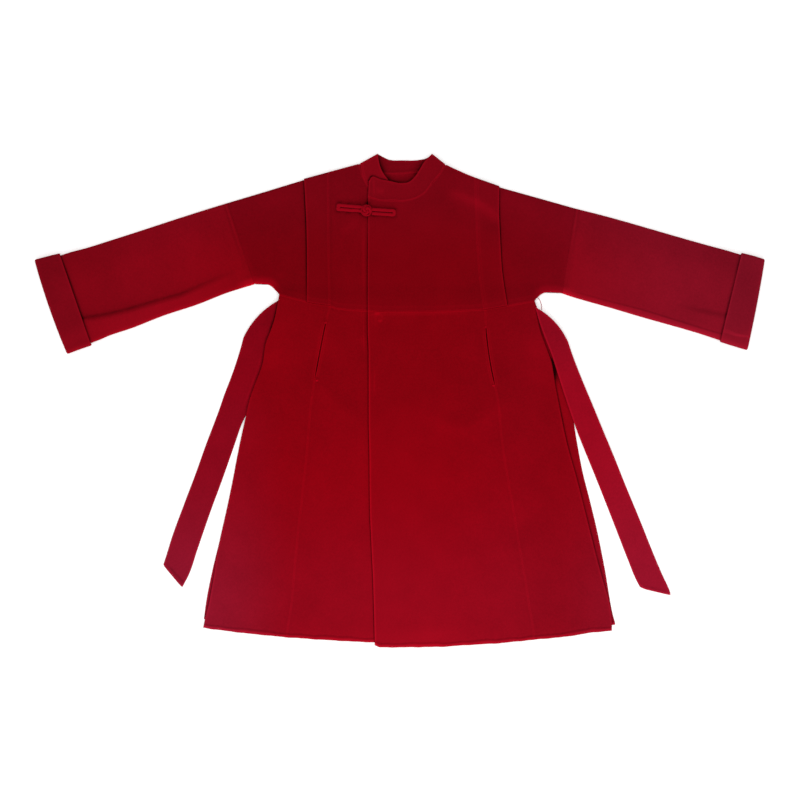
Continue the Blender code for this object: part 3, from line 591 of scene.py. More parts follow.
def shell(name, x, y, top, under, tone, material):
    """A closed thin sheet between an upper and a lower face that share one grid."""
    rows, count = x.shape
    upper = np.stack([x, y, top], axis=-1).reshape(-1, 3)
    lower = np.stack([x, y, under], axis=-1).reshape(-1, 3)
    index = np.arange(rows * count).reshape(rows, count)
    a, b = index[:-1, :-1].ravel(), index[:-1, 1:].ravel()
    c, d = index[1:, 1:].ravel(), index[1:, :-1].ravel()
    area = np.sum((x[:-1, :-1] - x[1:, 1:]) * (y[:-1, 1:] - y[1:, :-1])
                  - (x[:-1, 1:] - x[1:, :-1]) * (y[:-1, :-1] - y[1:, 1:]))
    if area < 0:
        b, d = d, b
    faces = np.stack([a, b, c, d], axis=1)
    faces = np.concatenate([faces, faces[:, ::-1] + rows * count])
    rim = np.concatenate([index[0, :-1], index[:-1, -1], index[-1, :0:-1], index[:0:-1, 0]])
    after = np.roll(rim, -1)
    if area < 0:
        rim, after = after, rim
    wall = np.stack([rim, rim + rows * count, after + rows * count, after], axis=1)
    faces = np.concatenate([faces, wall])
    tones = np.concatenate([tone.ravel(), np.zeros(rows * count)])
    return make_mesh(name, np.concatenate([upper, lower]), faces.tolist(), tones, material)


# Panels of the body

# An edge that runs across the coat, how far the cloth's own edge is off it, and how much it wavers
Seamed = namedtuple("Seamed", "edge shift waver", defaults=(0, 0))

# Kinds of edge, with the weight of each
FREE = (("free", 1),)
HEMMED = (("hemmed", 1),)
OVER = (("over", 1),)
BENEATH = (("under", 1),)
ROLLED = (("over", 1), ("lit", lambda x, y: 0.3 + 0.7 * smooth(y, 60, -60)))
WAIST_SEAM = (("seam", 0.9),)
WAIST_SEAM_ABOVE = (("seam_above", 0.9), ("allowance", 0.8))
NECK_SEAM = (("seam", 1),)


def offset(rows, side=0):
    """An edge that runs up the coat, half a seam off its line, on its -X (-1) or +X (1) side."""
    return lambda y: curve(rows, y) + side * HALF_SEAM


def slit_edge(rows, side, slit):
    """A princess seam's edge, which stands back further where the pocket slit opens it."""
    def edge(y):
        opened = smooth(y, slit.low, slit.low + slit.low_taper)
        opened = opened * smooth(y, slit.high, slit.high - SLIT_TAPER)
        return curve(rows, y) + side * (HALF_SEAM + (SLIT_GAP / 2 - HALF_SEAM) * opened)
    return edge


def corner_y(seamed, edge):
    """The height at which an edge that runs up the coat meets one that runs across it."""
    y = line(seamed.edge, 0)
    for _ in range(16):
        y = line(seamed.edge, edge(y)) + seamed.shift
    return float(y)


def border(left, right, low, high):
    """The four border lines of a panel, sampled finely. Left and right are functions of y, or paths."""
    sides = []
    for edge in (left, right):
        if callable(edge):
            y = np.linspace(corner_y(low, edge), corner_y(high, edge), BORDER_POINTS)
            sides.append(np.stack([edge(y), y], axis=-1))
        else:
            rounded = smooth_path(np.array(edge[:-1], float))
            places = np.linspace(0, 1, BORDER_POINTS)
            sides.append(evenly(np.concatenate([rounded, [edge[-1]]]), places))
    left_line, right_line = sides
    lines = []
    for seamed, start, end in ((low, left_line[0], right_line[0]), (high, left_line[-1], right_line[-1])):
        x = np.linspace(start[0], end[0], BORDER_POINTS)
        y = line(seamed.edge, x) + seamed.shift
        y = y + seamed.waver * (0.25 * np.sin(x / 8.3) + 0.2 * np.sin(x / 4.1 + 2))
        y[0], y[-1] = start[1], end[1]
        lines.append(np.stack([x, y], axis=-1))
    return lines[0], lines[1], left_line, right_line


def sheet_of(name, lines, height, edges, material, cell, margins, thickness, relief, upon=None):
    """A sheet inside the lines low, high, left and right. Edges gives the kinds of edge at each."""
    x, y = patch(*lines, cell, margins, upon)
    shape = Shape(x.shape)
    for place, path in zip(("low", "high", "left", "right"), lines):
        shape.add_edges(x, y, evenly(path, SAMPLES), edges.get(place, ()), thickness)
    base = height(x, y)
    extra, tone = relief(x, y)
    top = base + thickness - shape.fall + shape.ridge + extra
    return shell(name, x, y, top, base + shape.rise, shape.tone + tone, material)


def panel(name, left, right, low, high, height, edges, material, cell=6, relief=folded(), margins=MARGINS,
          upon=None):
    """A cut panel of the coat's cloth between two edges that run up it and two that run across."""
    lines = border(left, right, low, high)
    return sheet_of(name, lines, height, edges, material, cell, margins, CLOTH, relief, upon)


# Tubes: sleeves and cuffs

def ring_faces(rings):
    """The faces between closed rings, row by row, the last of which joins the first ring."""
    index = np.arange(rings.shape[0] * rings.shape[1]).reshape(rings.shape[:2])
    after = np.roll(index, -1, axis=0)
    return np.stack([index, np.roll(index, -1, axis=1), np.roll(after, -1, axis=1), after], axis=-1)


def ring_shell(name, rings, tones, material):
    """A closed wall through rings of points."""
    rings = np.array(rings)
    faces = ring_faces(rings).reshape(-1, 4).tolist()
    item = make_mesh(name, rings.reshape(-1, 3), faces, np.ravel(tones), material)
    top = max(item.data.polygons, key=lambda face: face.center.z)
    if top.normal.z < 0:
        item.data.flip_normals()
    return item


class Tube:
    """The plan of a flattened tube: its upper and lower edge at a distance along it."""

    def __init__(self, rows):
        points = np.array([row[:4] for row in rows], float)
        along = np.concatenate([[0], np.cumsum(steps_of(points))])
        self.columns = [np.stack([along, points[:, k]], axis=-1) for k in range(4)]
        self.cuff_start = along[-2]
        self.length = along[-1]

    def ring(self, along, low, high, inset, top_places, under_places, relief=None, reach=0, bow=0):
        """A ring at a distance along the tube, between the heights low and high, and its tones.

        Reach moves it out along the tube, and bow moves its middle further.
        """
        upper_x, upper_y, lower_x, lower_y = [float(curve(column, along)) for column in self.columns]
        upper = np.array([upper_x, upper_y])
        across = np.array([lower_x, lower_y]) - upper
        width = np.hypot(*across)
        across /= width
        outward = np.array([across[1], -across[0]]) * np.sign(across[1] * upper_x)
        radius = (high - low) / 2
        first, last = inset + radius, width - inset - radius
        turn = np.linspace(0, np.pi, ARC_POINTS + 2)[1:-1]
        top = first + (last - first) * top_places
        under = first + (last - first) * under_places[::-1]
        place = np.concatenate([top, last + radius * np.sin(turn), under, first - radius * np.sin(turn)])
        height = np.concatenate([np.full(len(top), high), low + radius + radius * np.cos(turn),
                                 np.full(len(under), low), low + radius - radius * np.cos(turn)])
        share = place / width
        out = reach + bow * 4 * share * (1 - share)
        plan = upper + across * place[:, None] + outward * out[:, None]
        tone = np.zeros(len(place))
        if relief:
            lifted = np.concatenate([np.ones(len(top)), (1 + np.cos(turn)) / 2, np.zeros(len(under)),
                                     (1 - np.cos(turn)) / 2])
            extra, tone = relief(*plan.T)
            height = height + lifted * extra
            # Painted highlight along the ring's lower edge, which faces the light, and a fainter one along
            # its upper edge
            tone = lifted * (tone + 0.42 * bell(width - place, radius + 2.2) + 0.10 * bell(place, 2.2))
        return np.column_stack([plan, height]), tone


# Points on a ring's rounded sides, shares of its width where its faces have points, the number of rings
# inside a sleeve, how far its end reaches into the armhole, and how far apart its outer rings are
ARC_POINTS = 7
SLEEVE_TOP = np.concatenate([np.linspace(0, 0.84, 54), np.linspace(0.847, 1, 22)])
CUFF_TOP = np.concatenate([np.linspace(0, 0.74, 34), np.linspace(0.748, 1, 34)])
UNDER = np.linspace(0, 1, 14)
INNER_STATIONS = 16
SLEEVE_TUCK = 0.32
SLEEVE_CELL = 3.5
# The painted highlight on the lip and the painted shade line of a sleeve beside the armhole
ARMHOLE_TONE = ((0.20, 3.6, 1.6), (-0.08, 7.5, 1.8))


def make_sleeve(name, rows, relief, allowance, material):
    """A flattened sleeve, which climbs onto the cuff's under side near its end.

    Allowance is how far from the armhole the seam's hidden edge shows.
    """
    tube = Tube(rows)
    stations = [(along, False) for along in spacing([tube.length], SLEEVE_CELL, MARGINS)[0] * tube.length]
    stations += [(along, True) for along in np.linspace(tube.length, 0, INNER_STATIONS)]
    rings, tones = [], []
    for along, inside in stations:
        low = PLY * smooth(along, tube.cuff_start - SLEEVE_RISE, tube.cuff_start)
        high = low + SLEEVE_HEIGHT
        reach = -SLEEVE_TUCK if along == 0 else 0
        if inside:
            ring, _ = tube.ring(along, low + CLOTH, low + CLOTH + AIR, CLOTH, SLEEVE_TOP, UNDER,
                                relief, reach)
            tone = np.zeros(len(ring))
        else:
            off = along - allowance
            ring, tone = tube.ring(along, low, high, 0, SLEEVE_TOP, UNDER, relief, reach)
            upper = ring[:, 2] > low + SLEEVE_HEIGHT / 2
            ring[:, 2] += upper * 0.5 * (bells(along, SEAM_RIDGE) + bells(off, ALLOWANCE_RIDGE))
            # Painted highlight and shade beside the armhole seam where it shows, and painted shade where the
            # sleeve runs into the armhole
            seen = upper * smooth(ring[:, 1], 250, 370)
            tone = tone + seen * bells(along, ARMHOLE_TONE)
            tone = tone + seen * 0.3 * bells(off, ALLOWANCE_TONE) - upper * 0.15 * smooth(along, 16, 0)
        rings.append(ring)
        tones.append(tone)
    return ring_shell(name, rings, tones, material)


def arc(centre_along, centre_height, radius, start, end, count):
    """Points (along, height) on an arc, its angles in quarter turns from straight ahead."""
    turn = np.linspace(start, end, count) * np.pi / 2
    return [(centre_along + radius * np.cos(t), centre_height + radius * np.sin(t)) for t in turn]


def make_cuff(name, rows, bow, relief, material):
    """A turned-back cuff: its outer wall, the fold, and the wall that runs on into the sleeve."""
    tube = Tube(rows[:3])
    length = tube.length
    outer = CUFF_HEIGHT / 2
    inner = outer - CLOTH
    sleeve = inner - AIR
    mouth = sleeve - CLOTH
    lip = CLOTH / 2
    fold = (outer - mouth) / 2
    stations = arc(lip, outer - lip, lip, 2, 1, 5)
    stations += [(along, outer) for along in np.linspace(3.5, length - 4, 13)]
    stations += arc(length, (outer + mouth) / 2, fold, 1, -1, 11)
    stations += [(length - 6, mouth), (length - 6, sleeve), (length - 1, sleeve), (length - 0.6, inner)]
    stations += [(along, inner) for along in np.linspace(length - 6, lip + 1, 6)]
    stations += arc(lip, outer - lip, lip, -1, -1.8, 4)
    rings, tones = [], []
    for along, half in stations:
        place = float(np.clip(along, 0, length))
        outside = half == outer or along > length
        ring, tone = tube.ring(place, outer - half, outer + half, outer - half, CUFF_TOP, UNDER,
                               relief if outside else None, along - place, bow * place / length)
        rings.append(ring)
        # Painted highlights along the cuff's outer fold and its rolled lip
        tones.append(tone + 0.16 * bell(along - length, 3) + 0.28 * bell(along - 1.2, 1.6))
    return ring_shell(name, rings, tones, material)


# Belt and collar: bands between two edges

def smooth_path(points, steps=8):
    """A line through the points, rounded between them (Catmull-Rom by chord length)."""
    points = np.asarray(points, float)
    padded = np.concatenate([[2 * points[0] - points[1]], points, [2 * points[-1] - points[-2]]])
    out = []
    for p0, p1, p2, p3 in zip(padded, padded[1:], padded[2:], padded[3:]):
        d1, d2, d3 = [max(np.hypot(*step[:2]), TINY) for step in (p1 - p0, p2 - p1, p3 - p2)]
        m1 = d2 * ((p1 - p0) / d1 - (p2 - p0) / (d1 + d2) + (p2 - p1) / d2)
        m2 = d2 * ((p2 - p1) / d2 - (p3 - p1) / (d2 + d3) + (p3 - p2) / d3)
        for w in np.arange(steps) / steps:
            late = w * w * (3 - 2 * w)
            out.append((1 - late) * p1 + w * (1 - w) ** 2 * m1 + late * p2 - w * w * (1 - w) * m2)
    out.append(points[-1])
    return np.array(out)


def line_of(rows, first):
    """The rounded line through two columns of a table, of which the x column is the given one."""
    return smooth_path([row[first:first + 2] for row in rows])


def straight(start, end, count=20):
    w = np.linspace(0, 1, count)[:, None]
    return np.asarray(start) * (1 - w) + np.asarray(end) * w


# How far the belt's tip bulges, points across the belt's ends, and how far from the neck seam the collar
# has its full spring
TIP_ROUND = 1.6
END_POINTS = 24
COLLAR_FULL = 38


def make_belt_end(name, rows, height, material, relief):
    """A belt end from its diagonal fold down to its slanted tip."""
    outer, inner = line_of(rows, 0), line_of(rows, 2)
    fold = rows[0]
    start, end = np.array(fold[:2]), np.array(fold[2:4])
    w = np.linspace(0, 1, END_POINTS)
    across = (end - start) / np.hypot(*(end - start))
    normal = np.array([-across[1], across[0]]) * (1 if fold.inner_x > fold.outer_x else -1)
    top = straight(start, end, END_POINTS) + (fold.bow * 4 * w * (1 - w))[:, None] * normal
    fullness = TIP_ROUND * (1 - np.abs(2 * w - 1) ** 8)
    ahead = outer[-1] - outer[-2] + inner[-1] - inner[-2]
    ahead = ahead / np.hypot(*ahead)
    tip = straight(outer[-1], inner[-1], END_POINTS) + fullness[:, None] * ahead
    edges = {"low": FREE, "high": FREE, "left": FREE, "right": FREE}
    return sheet_of(name, (top, tip, outer, inner), height, edges, material, 5, BELT_MARGINS, BELT, relief)


def make_collar_stretch(name, rows, height, edges, relief):
    """A stretch of the collar band, whose free edge stands up by the spring of each row."""
    seam, free = line_of(rows, 0), line_of(rows, 2)
    middles = smooth_path([((row.low_x + row.high_x) / 2, (row.low_y + row.high_y) / 2) for row in rows])
    springs = [row.spring for row in rows]

    def stand(x, y):
        gap, _, _ = distance(x, y, evenly(seam, SAMPLES))
        _, _, where = distance(x, y, evenly(middles, SAMPLES))
        return height(x, y) + spread(springs, where) * np.clip(gap / COLLAR_FULL, 0, 1) ** 2

    lines = (seam, free, straight(seam[0], free[0]), straight(seam[-1], free[-1]))
    return sheet_of(name, lines, stand, edges, COLLAR, 2.5, FEW_MARGINS, CLOTH, relief)


# Frog

Arm = namedtuple("Arm", "outer_x outer_y inner_x inner_y")
FROG_ARM_RIGHT = Arm(-126, 386, -78.5, 382)
FROG_ARM_LEFT = Arm(-7, 374, -53.5, 377)
KNOT_X = -66
KNOT_Y = 379
KNOT_CORD = 2.6
CORD = 6.8
ARM_WIDTH = 14.6


def sweep(path, radius_across, radius_up, points=12, closed=False):
    """A round cord along a path of points, as rings."""
    path = np.asarray(path, float)
    if closed:
        ahead = np.roll(path, -1, axis=0) - np.roll(path, 1, axis=0)
    else:
        ahead = np.gradient(path, axis=0)
    ahead /= np.linalg.norm(ahead, axis=1)[:, None]
    up = np.array([0, 0, 1])
    across = np.cross(ahead, up)
    across /= np.maximum(np.linalg.norm(across, axis=1), TINY)[:, None]
    rise = np.cross(across, ahead)
    turns = np.linspace(0, 2 * np.pi, points, endpoint=False)
    radius_across = np.broadcast_to(radius_across, len(path))
    radius_up = np.broadcast_to(radius_up, len(path))
    return (path[:, None, :]
            + across[:, None, :] * (np.cos(turns)[None, :, None] * radius_across[:, None, None])
            + rise[:, None, :] * (np.sin(turns)[None, :, None] * radius_up[:, None, None]))


class Cords:
    """Several swept cords of wool gathered into one mesh."""

    def __init__(self):
        self.verts, self.faces, self.tones = [], [], []

    def add(self, rings, closed=False, tone=0):
        count, points, _ = rings.shape
        start = len(self.verts)
        self.verts.extend(rings.reshape(-1, 3).tolist())
        self.tones.extend([tone] * (count * points))
        faces = start + ring_faces(rings)
        if closed:
            self.faces += faces.reshape(-1, 4).tolist()
        else:
            self.faces += faces[:-1].reshape(-1, 4).tolist()
            self.faces += [faces[0, :, 0].tolist(), faces[-1, ::-1, 0].tolist()]

    def make(self, name):
        return make_mesh(name, self.verts, self.faces, self.tones, CORD_WOOL)


def make_cord(name, rings, closed=False, tone=0):
    """A single cord as a piece of its own."""
    cords = Cords()
    cords.add(rings, closed, tone)
    return cords.make(name)


def arm_frame(arm):
    """Turns (along, across) from an arm's outer end into x and y, and gives the arm's length."""
    start = np.array(arm[:2])
    ahead = np.array(arm[2:]) - start
    length = np.hypot(*ahead)
    ahead /= length
    side = np.array([-ahead[1], ahead[0]])

    def place(points):
        along, across = np.array(points).T
        return start + np.outer(along, ahead) + np.outer(across, side)
    return place, length


def arm_points(length, turn):
    """A cord doubled back on itself; turn is the line of its outer end, from one side to the middle."""
    gap = (ARM_WIDTH - CORD) / 2
    half = [(length, gap), (length * 0.6, gap), (length * 0.25, gap)]
    half += [(along, share * gap) for along, share in turn]
    return half + [(along, -across) for along, across in half[-2::-1]]


SQUARE_TURN = ((5.7, 1), (4.3, 0.86), (3.7, 0.5), (3.7, 0))
FORKED_TURN = ((6, 1.08), (3.4, 1), (3, 0.62), (5, 0))
# Half the cord's height, and the radius of its loop round the knot
CORD_UP = 2.7
LOOP_REACH = 9.7


def make_frog():
    """The frog's right arm with its loop, its left arm, and the knot that the loop holds."""
    low = front_height(FROG_ARM_RIGHT.inner_x, KNOT_Y) + CLOTH + SEAM
    high = over_height(KNOT_X, KNOT_Y) + CLOTH + SEAM
    place, length = arm_frame(FROG_ARM_RIGHT)
    plan = place(arm_points(length, FORKED_TURN))
    knot = np.array([KNOT_X, KNOT_Y])
    first = np.arctan2(*(plan[-1] - knot)[::-1])
    last = np.arctan2(*(plan[0] - knot)[::-1])
    turn = np.linspace(first + 0.25, last + 2 * np.pi - 0.25, 22)
    plan = np.concatenate([plan, circle(KNOT_X, KNOT_Y, LOOP_REACH, turn)])
    heights = low + CORD_UP + (high - low) * smooth(plan[:, 0], -84, -74)
    path = smooth_path(np.column_stack([plan, heights]), 4)
    near = bell(np.hypot(path[:, 0] - KNOT_X, path[:, 1] - KNOT_Y) - LOOP_REACH, 2.5)
    squeezed = sweep(path, CORD / 2 - 1.4 * near, CORD_UP - 0.4 * near, closed=True)
    right = make_cord("frog_arm_right_cord", squeezed, True, 0.02)

    place, length = arm_frame(FROG_ARM_LEFT)
    plan = place(arm_points(length + 1.5, SQUARE_TURN))
    path = smooth_path(np.column_stack([plan, np.full(len(plan), high + CORD_UP)]), 4)
    left = make_cord("frog_arm_left_cord", sweep(path, CORD / 2, CORD_UP), tone=0.02)

    turn = np.linspace(0, 4 * np.pi, 120, endpoint=False)
    ball = circle(KNOT_X, KNOT_Y, 4.5 + 2.4 * np.cos(1.5 * turn), turn)
    path = np.column_stack([ball, high + 5.2 + 2.5 * np.sin(1.5 * turn)])
    knot = make_cord("frog_knot_cord", sweep(path, KNOT_CORD, KNOT_CORD, closed=True), True, 0.05)
    return [right, left, knot]


# Materials

def set_inputs(node, values):
    """Give a shader node's inputs their values by name."""
    for name, value in values.items():
        node.inputs[name].default_value = value


def new_material(name):
    """A new material and its shader."""
    material = bpy.data.materials.new(name)
    material.use_nodes = True
    return material, material.node_tree.nodes["Principled BSDF"]


def wool(name, colour, nap=1):
    """Felted wool: mottled dye, nap in small clumps, single fibres, and a soft sheen of its own red."""
    material, shader = new_material(name)
    new, link = material.node_tree.nodes.new, material.node_tree.links.new
    set_inputs(shader, {"Metallic": 0, "Specular IOR Level": 0.015, "Sheen Weight": 0.12,
                        "Sheen Roughness": 0.45, "Sheen Tint": (1, 0.05, 0.12, 1)})
    place = new("ShaderNodeTexCoord").outputs["Object"]

    def noise(scale, detail, rough, stretch=None):
        node = new("ShaderNodeTexNoise")
        set_inputs(node, {"Scale": scale, "Detail": detail, "Roughness": rough})
        source = place
        if stretch:
            mapping = new("ShaderNodeMapping")
            set_inputs(mapping, {"Scale": stretch, "Rotation": (0, 0, 0.5)})
            link(place, mapping.inputs["Vector"])
            source = mapping.outputs["Vector"]
        link(source, node.inputs["Vector"])
        return node.outputs["Fac"]

    def math(operation, first, second, third=None):
        node = new("ShaderNodeMath")
        node.operation = operation
        for socket, value in zip(node.inputs, (first, second, third)):
            if value is None:
                continue
            if isinstance(value, (int, float)):
                socket.default_value = value
            else:
                link(value, socket)
        return node.outputs["Value"]

    mottle = noise(16, 5, 0.6)
    clumps = noise(260, 3, 0.65)
    fibres = noise(520, 2, 0.6, (1, 3.2, 1))
    # The tone attribute holds painted light and shade, and the second attribute a painted cool tint of the
    # light; both are mixed into the base colour.
    tone, cool = new("ShaderNodeAttribute"), new("ShaderNodeAttribute")
    tone.attribute_name, cool.attribute_name = "tone", "haze"
    tinted = new("ShaderNodeVectorMath")
    tinted.operation = "MULTIPLY_ADD"
    link(cool.outputs["Fac"], tinted.inputs[0])
    tinted.inputs[1].default_value = (0, 0.36 * colour[0], colour[0])
    tinted.inputs[2].default_value = colour
    level = math("MULTIPLY_ADD", mottle, 0.30, 0.85)
    level = math("MULTIPLY_ADD", clumps, 0.40 * nap, math("SUBTRACT", level, 0.20 * nap))
    level = math("MULTIPLY_ADD", fibres, 0.36 * nap, math("SUBTRACT", level, 0.18 * nap))
    level = math("ADD", level, tone.outputs["Fac"])
    level = math("MAXIMUM", level, 0.05)
    scaled = new("ShaderNodeVectorMath")
    scaled.operation = "SCALE"
    link(tinted.outputs["Vector"], scaled.inputs[0])
    link(level, scaled.inputs["Scale"])
    link(scaled.outputs["Vector"], shader.inputs["Base Color"])
    link(math("MULTIPLY_ADD", clumps, 0.14, 0.82), shader.inputs["Roughness"])
    bump = new("ShaderNodeBump")
    set_inputs(bump, {"Strength": 0.55, "Distance": 0.0007})
    link(math("MULTIPLY_ADD", clumps, 0.6, math("MULTIPLY", fibres, 0.5)), bump.inputs["Height"])
    link(bump.outputs["Normal"], shader.inputs["Normal"])
    return material


# All the coat's cloth is one wool; these copies' base colours differ as painted light and shade, each panel,
# sleeve, cuff and belt end set lighter, darker or cooler as the light falls on it.
BODICE = wool("wool_bodice", (0.162, 0.0003, 0.0030))
SIDE = wool("wool_side", (0.154, 0.0003, 0.0030))
COLLAR = wool("wool_collar", (0.168, 0.0005, 0.0034))
SKIRT = wool("wool_skirt", (0.213, 0.0003, 0.0036))
SLEEVE_RIGHT = wool("wool_sleeve_right", (0.189, 0.0006, 0.0038))
SLEEVE_LEFT = wool("wool_sleeve_left", (0.201, 0.0008, 0.0044))
CUFF_RIGHT = wool("wool_cuff_right", (0.170, 0.0010, 0.0046))
CUFF_LEFT = wool("wool_cuff_left", (0.179, 0.0014, 0.0056))
BELT_RIGHT = wool("wool_belt_right", (0.204, 0.0009, 0.0060))
BELT_LEFT = wool("wool_belt_left", (0.251, 0.0014, 0.0085))
CORD_WOOL = wool("wool_cord", (0.237, 0.0004, 0.0046), 0.7)


# Folds, crevices and washes, all placed one by one

# A crease's line, shade and roll: the strengths of the painted shade line in it, the painted shade above it,
# and the painted highlight on its roll
Crease = namedtuple("Crease", "path side height rise fall blur line shade roll strengths")


def edge_path(rows, low_y, high_y, shift=0):
    """A stretch of an edge that runs up the coat, as a path."""
    y = np.linspace(low_y, high_y, 30)
    return np.stack([curve(rows, y) + shift, y], axis=-1)


def creased(creases, cuff_edge, folds, shades, washes):
    """A relief function for a sleeve: creases with a roll of cloth on one side, painted shade in and above
    each crease and a painted highlight on its roll, and what folded adds.

    The roll flattens where the sleeve goes into its cuff.
    """
    plain = folded(folds, shades, washes)
    (upper_x, upper_y), (lower_x, lower_y) = cuff_edge

    def relief(x, y):
        extra, tone = plain(x, y)
        edge_x = upper_x + (lower_x - upper_x) * (y - upper_y) / (lower_y - upper_y)
        clear = smooth(np.abs(edge_x) - np.abs(x), 1, 18)
        for crease in creases:
            gap, side, where = distance(x, y, crease.path)
            strength = spread(crease.strengths, where)
            rolled = side * crease.side > 0
            beyond = np.where(rolled, gap, 0)
            body = smooth(beyond, 0, crease.rise)
            body = body * (1 - 0.6 * smooth(beyond, crease.rise, crease.fall))
            extra = extra + clear * strength * (crease.height * body - 0.6 * bell(gap, 5))
            before = np.where(rolled, 0, bell(gap, 15))
            tone = tone - strength * (crease.line * bell(gap, 3.2 * crease.blur) + crease.shade * before)
            tone = tone + strength * crease.roll * smooth(beyond, crease.blur, 7 * crease.blur)
        return extra, tone
    return relief


def skirt_wash(x, y):
    """Painted light and shade on the skirt: darker near the waist and lighter towards the hem, most of all
    in its middle.
    """
    return (-0.13 + 0.155 * smooth(y, 110, -230) - 0.04 * smooth(x, 220, 320) * smooth(y, -20, -120)
            + 0.14 * bell(x - 40, 170) * smooth(y, -120, -440)
            + 0.12 * bell(x - 40, 190) * smooth(y, -445, -472)
            + 0.08 * bell(x + 30, 130) * bell(y + 120, 90))


def shoulder_wash(x, y):
    """Painted shade towards the neck and on the wearer's right."""
    return -0.05 * smooth(y, 340, 440) * smooth(np.abs(x + 10), 190, 90) - 0.05 * smooth(x, -60, -150)


def beside_armhole(x, y):
    """Painted light on the bodice just before the armhole seam, below its upper half, as light as the sleeve
    beside it.
    """
    for_right = np.where(x < 0, 1, 0.5)
    off = np.abs(x) - np.where(x < 0, 290 + (y - 232) * 0.332, 325 + (y - 214) * 0.159)
    return for_right * 0.09 * smooth(off, -14, 0) * smooth(y, 350, 290)


def neck_wash(x, y):
    """Painted light inside the neck, a little less of it further down."""
    return 0.14 - 0.06 * smooth(y, 456, 446)


def even(tone):
    """Painted light (above zero) and shade (below zero) of the same strength all over a piece."""
    return lambda x, y: tone


def spot(centre_x, centre_y, reach_x, reach_y, tone):
    """A soft round patch of painted light, and of painted shade where its tone is below zero."""
    return lambda x, y: tone * bell(x - centre_x, reach_x) * bell(y - centre_y, reach_y)


def sleeve_wash(x, y):
    """Painted light near the armhole, and painted shade towards the cuffs and along the upper edge, most of
    all on the left sleeve.
    """
    below = 383.5 - 0.28 * (np.abs(x) - 352) - y
    return (0.08 - 0.13 * smooth(np.abs(x), 380, 660)
            - np.where(x > 0, 0.15, 0.08) * smooth(below, 70, 5))


def belt_right_wash(x, y):
    """Painted shade at the top of the belt's right end, and painted light towards its tip."""
    return 0.08 * smooth(y, -120, -300) - 0.08 * smooth(y, 20, 110)


def belt_left_wash(x, y):
    """The belt's left end lies in the coat's shade at its top and is lightest about its middle."""
    return -0.15 * smooth(y, 40, 130) + 0.08 * bell(y + 150, 130)


def princess(slit):
    """The kinds of edge along a princess seam: lips raised higher with a stronger painted highlight, and a
    pressed allowance at the slit.
    """
    def beside(x, y):
        return smooth(y, slit.low - 6, slit.low + 6) * smooth(y, slit.high + 6, slit.high - 6)
    return (("seam", lambda x, y: 0.50 + 0.65 * beside(x, y)),
            ("near_allowance", lambda x, y: 1.3 * beside(x, y)))


# The ring that the hidden snap presses into the skirt
SNAP_RING = circle(-41, 166, 7.2, np.linspace(0, 2 * np.pi, 24))

# The last number of each fold is its tone: a painted highlight on a ridge, painted shade in a hollow; folds
# of little or no height are painted lines of highlight or shade alone
RIGHT_SKIRT_FOLDS = rows_of(
    Fold,
    ([(-166, 60), (-160, 38), (-146, 6), (-118, -20), (-90, -37), (-58, -48)], 10, 8, 0.6, 0.05),
    ([(-150, 66), (-140, 30), (-110, -2), (-80, -14), (-58, -20)], 18, 14, -0.3, -0.05),
    ([(-76, 176), (-72, 152), (-74, 120)], 10, 10, -0.6, -0.12),
    ([(-262, 105), (-254, 82), (-250, 60)], 16, 20, 0.9, 0.08),
    ([(-236, 190), (-226, 120), (-232, 40)], 22, 22, 0.5, 0.03),
    ([(-71, 190), (-71.5, 150), (-71, 80)], 1.5, 1.5, 0.2, 0.24),
    ([(-75.5, 190), (-76, 152), (-75.5, 100)], 1.5, 1.5, 0.2, 0.16))
LEFT_SKIRT_FOLDS = rows_of(
    Fold,
    ([(40, 0), (50, -24), (82, -49), (132, -60), (172, -42), (192, -18), (208, 30)], 9, 14, 0.7, 0.06),
    ([(58, 10), (72, -14), (100, -30), (140, -36), (168, -18), (182, 14)], 18, 12, -0.3, -0.04),
    ([(-110, 171), (-20, 172.5), (60, 173.5), (160, 176)], 3, 3, 0.4, 0.16),
    ([(-50, 74), (-50, 40), (-50.5, 6)], 1.5, 1.5, 0.2, 0.16),
    (np.roll(SNAP_RING[:-1], 4, axis=0), 2.2, 2.2, 0.25, 0.07),
    ([(-52, 172), (-45, 173.5), (-38, 173)], 2.2, 2.2, 0.3, 0.40),
    ([(-44, 160), (-38, 158.5), (-33, 161)], 2.2, 2.2, 0.3, 0.34),
    ([(-56, 150), (-41, 166), (-24, 178)], 14, 10, 0.5, 0.06),
    ([(238, -236), (250, -268), (262, -300)], 26, 22, -0.6, -0.05),
    ([(182, -296), (214, -301), (250, -304)], 12, 12, 0.6, 0.05),
    ([(216, 150), (226, 90), (234, 20)], 20, 24, 0.6, 0.03))
LEFT_BODICE_FOLDS = rows_of(
    Fold,
    ([(84, 422), (118, 412), (150, 400), (176, 384), (198, 365), (214, 344)], 9, 12, 2, 0.26),
    ([(160, 352), (181, 350), (206, 344)], 12, 12, -0.3, -0.08),
    ([(80, 386), (120, 372), (160, 346), (206, 316)], 20, 24, -0.4, -0.02),
    ([(0, 388), (50, 392), (90, 400), (120, 420)], 26, 22, -0.3, -0.03))
SIDE_LEFT_FOLDS = rows_of(
    Fold,
    ([(200, 420), (240, 395), (290, 370)], 18, 22, 1, 0.08),
    ([(206, 300), (240, 290), (280, 262)], 20, 20, -0.4, -0.04))
SIDE_RIGHT_FOLDS = rows_of(
    Fold,
    ([(-196, 430), (-240, 402), (-300, 380)], 14, 20, 0.8, 0.06),
    ([(-196, 300), (-224, 270), (-246, 236)], 16, 18, 0.6, 0.05))
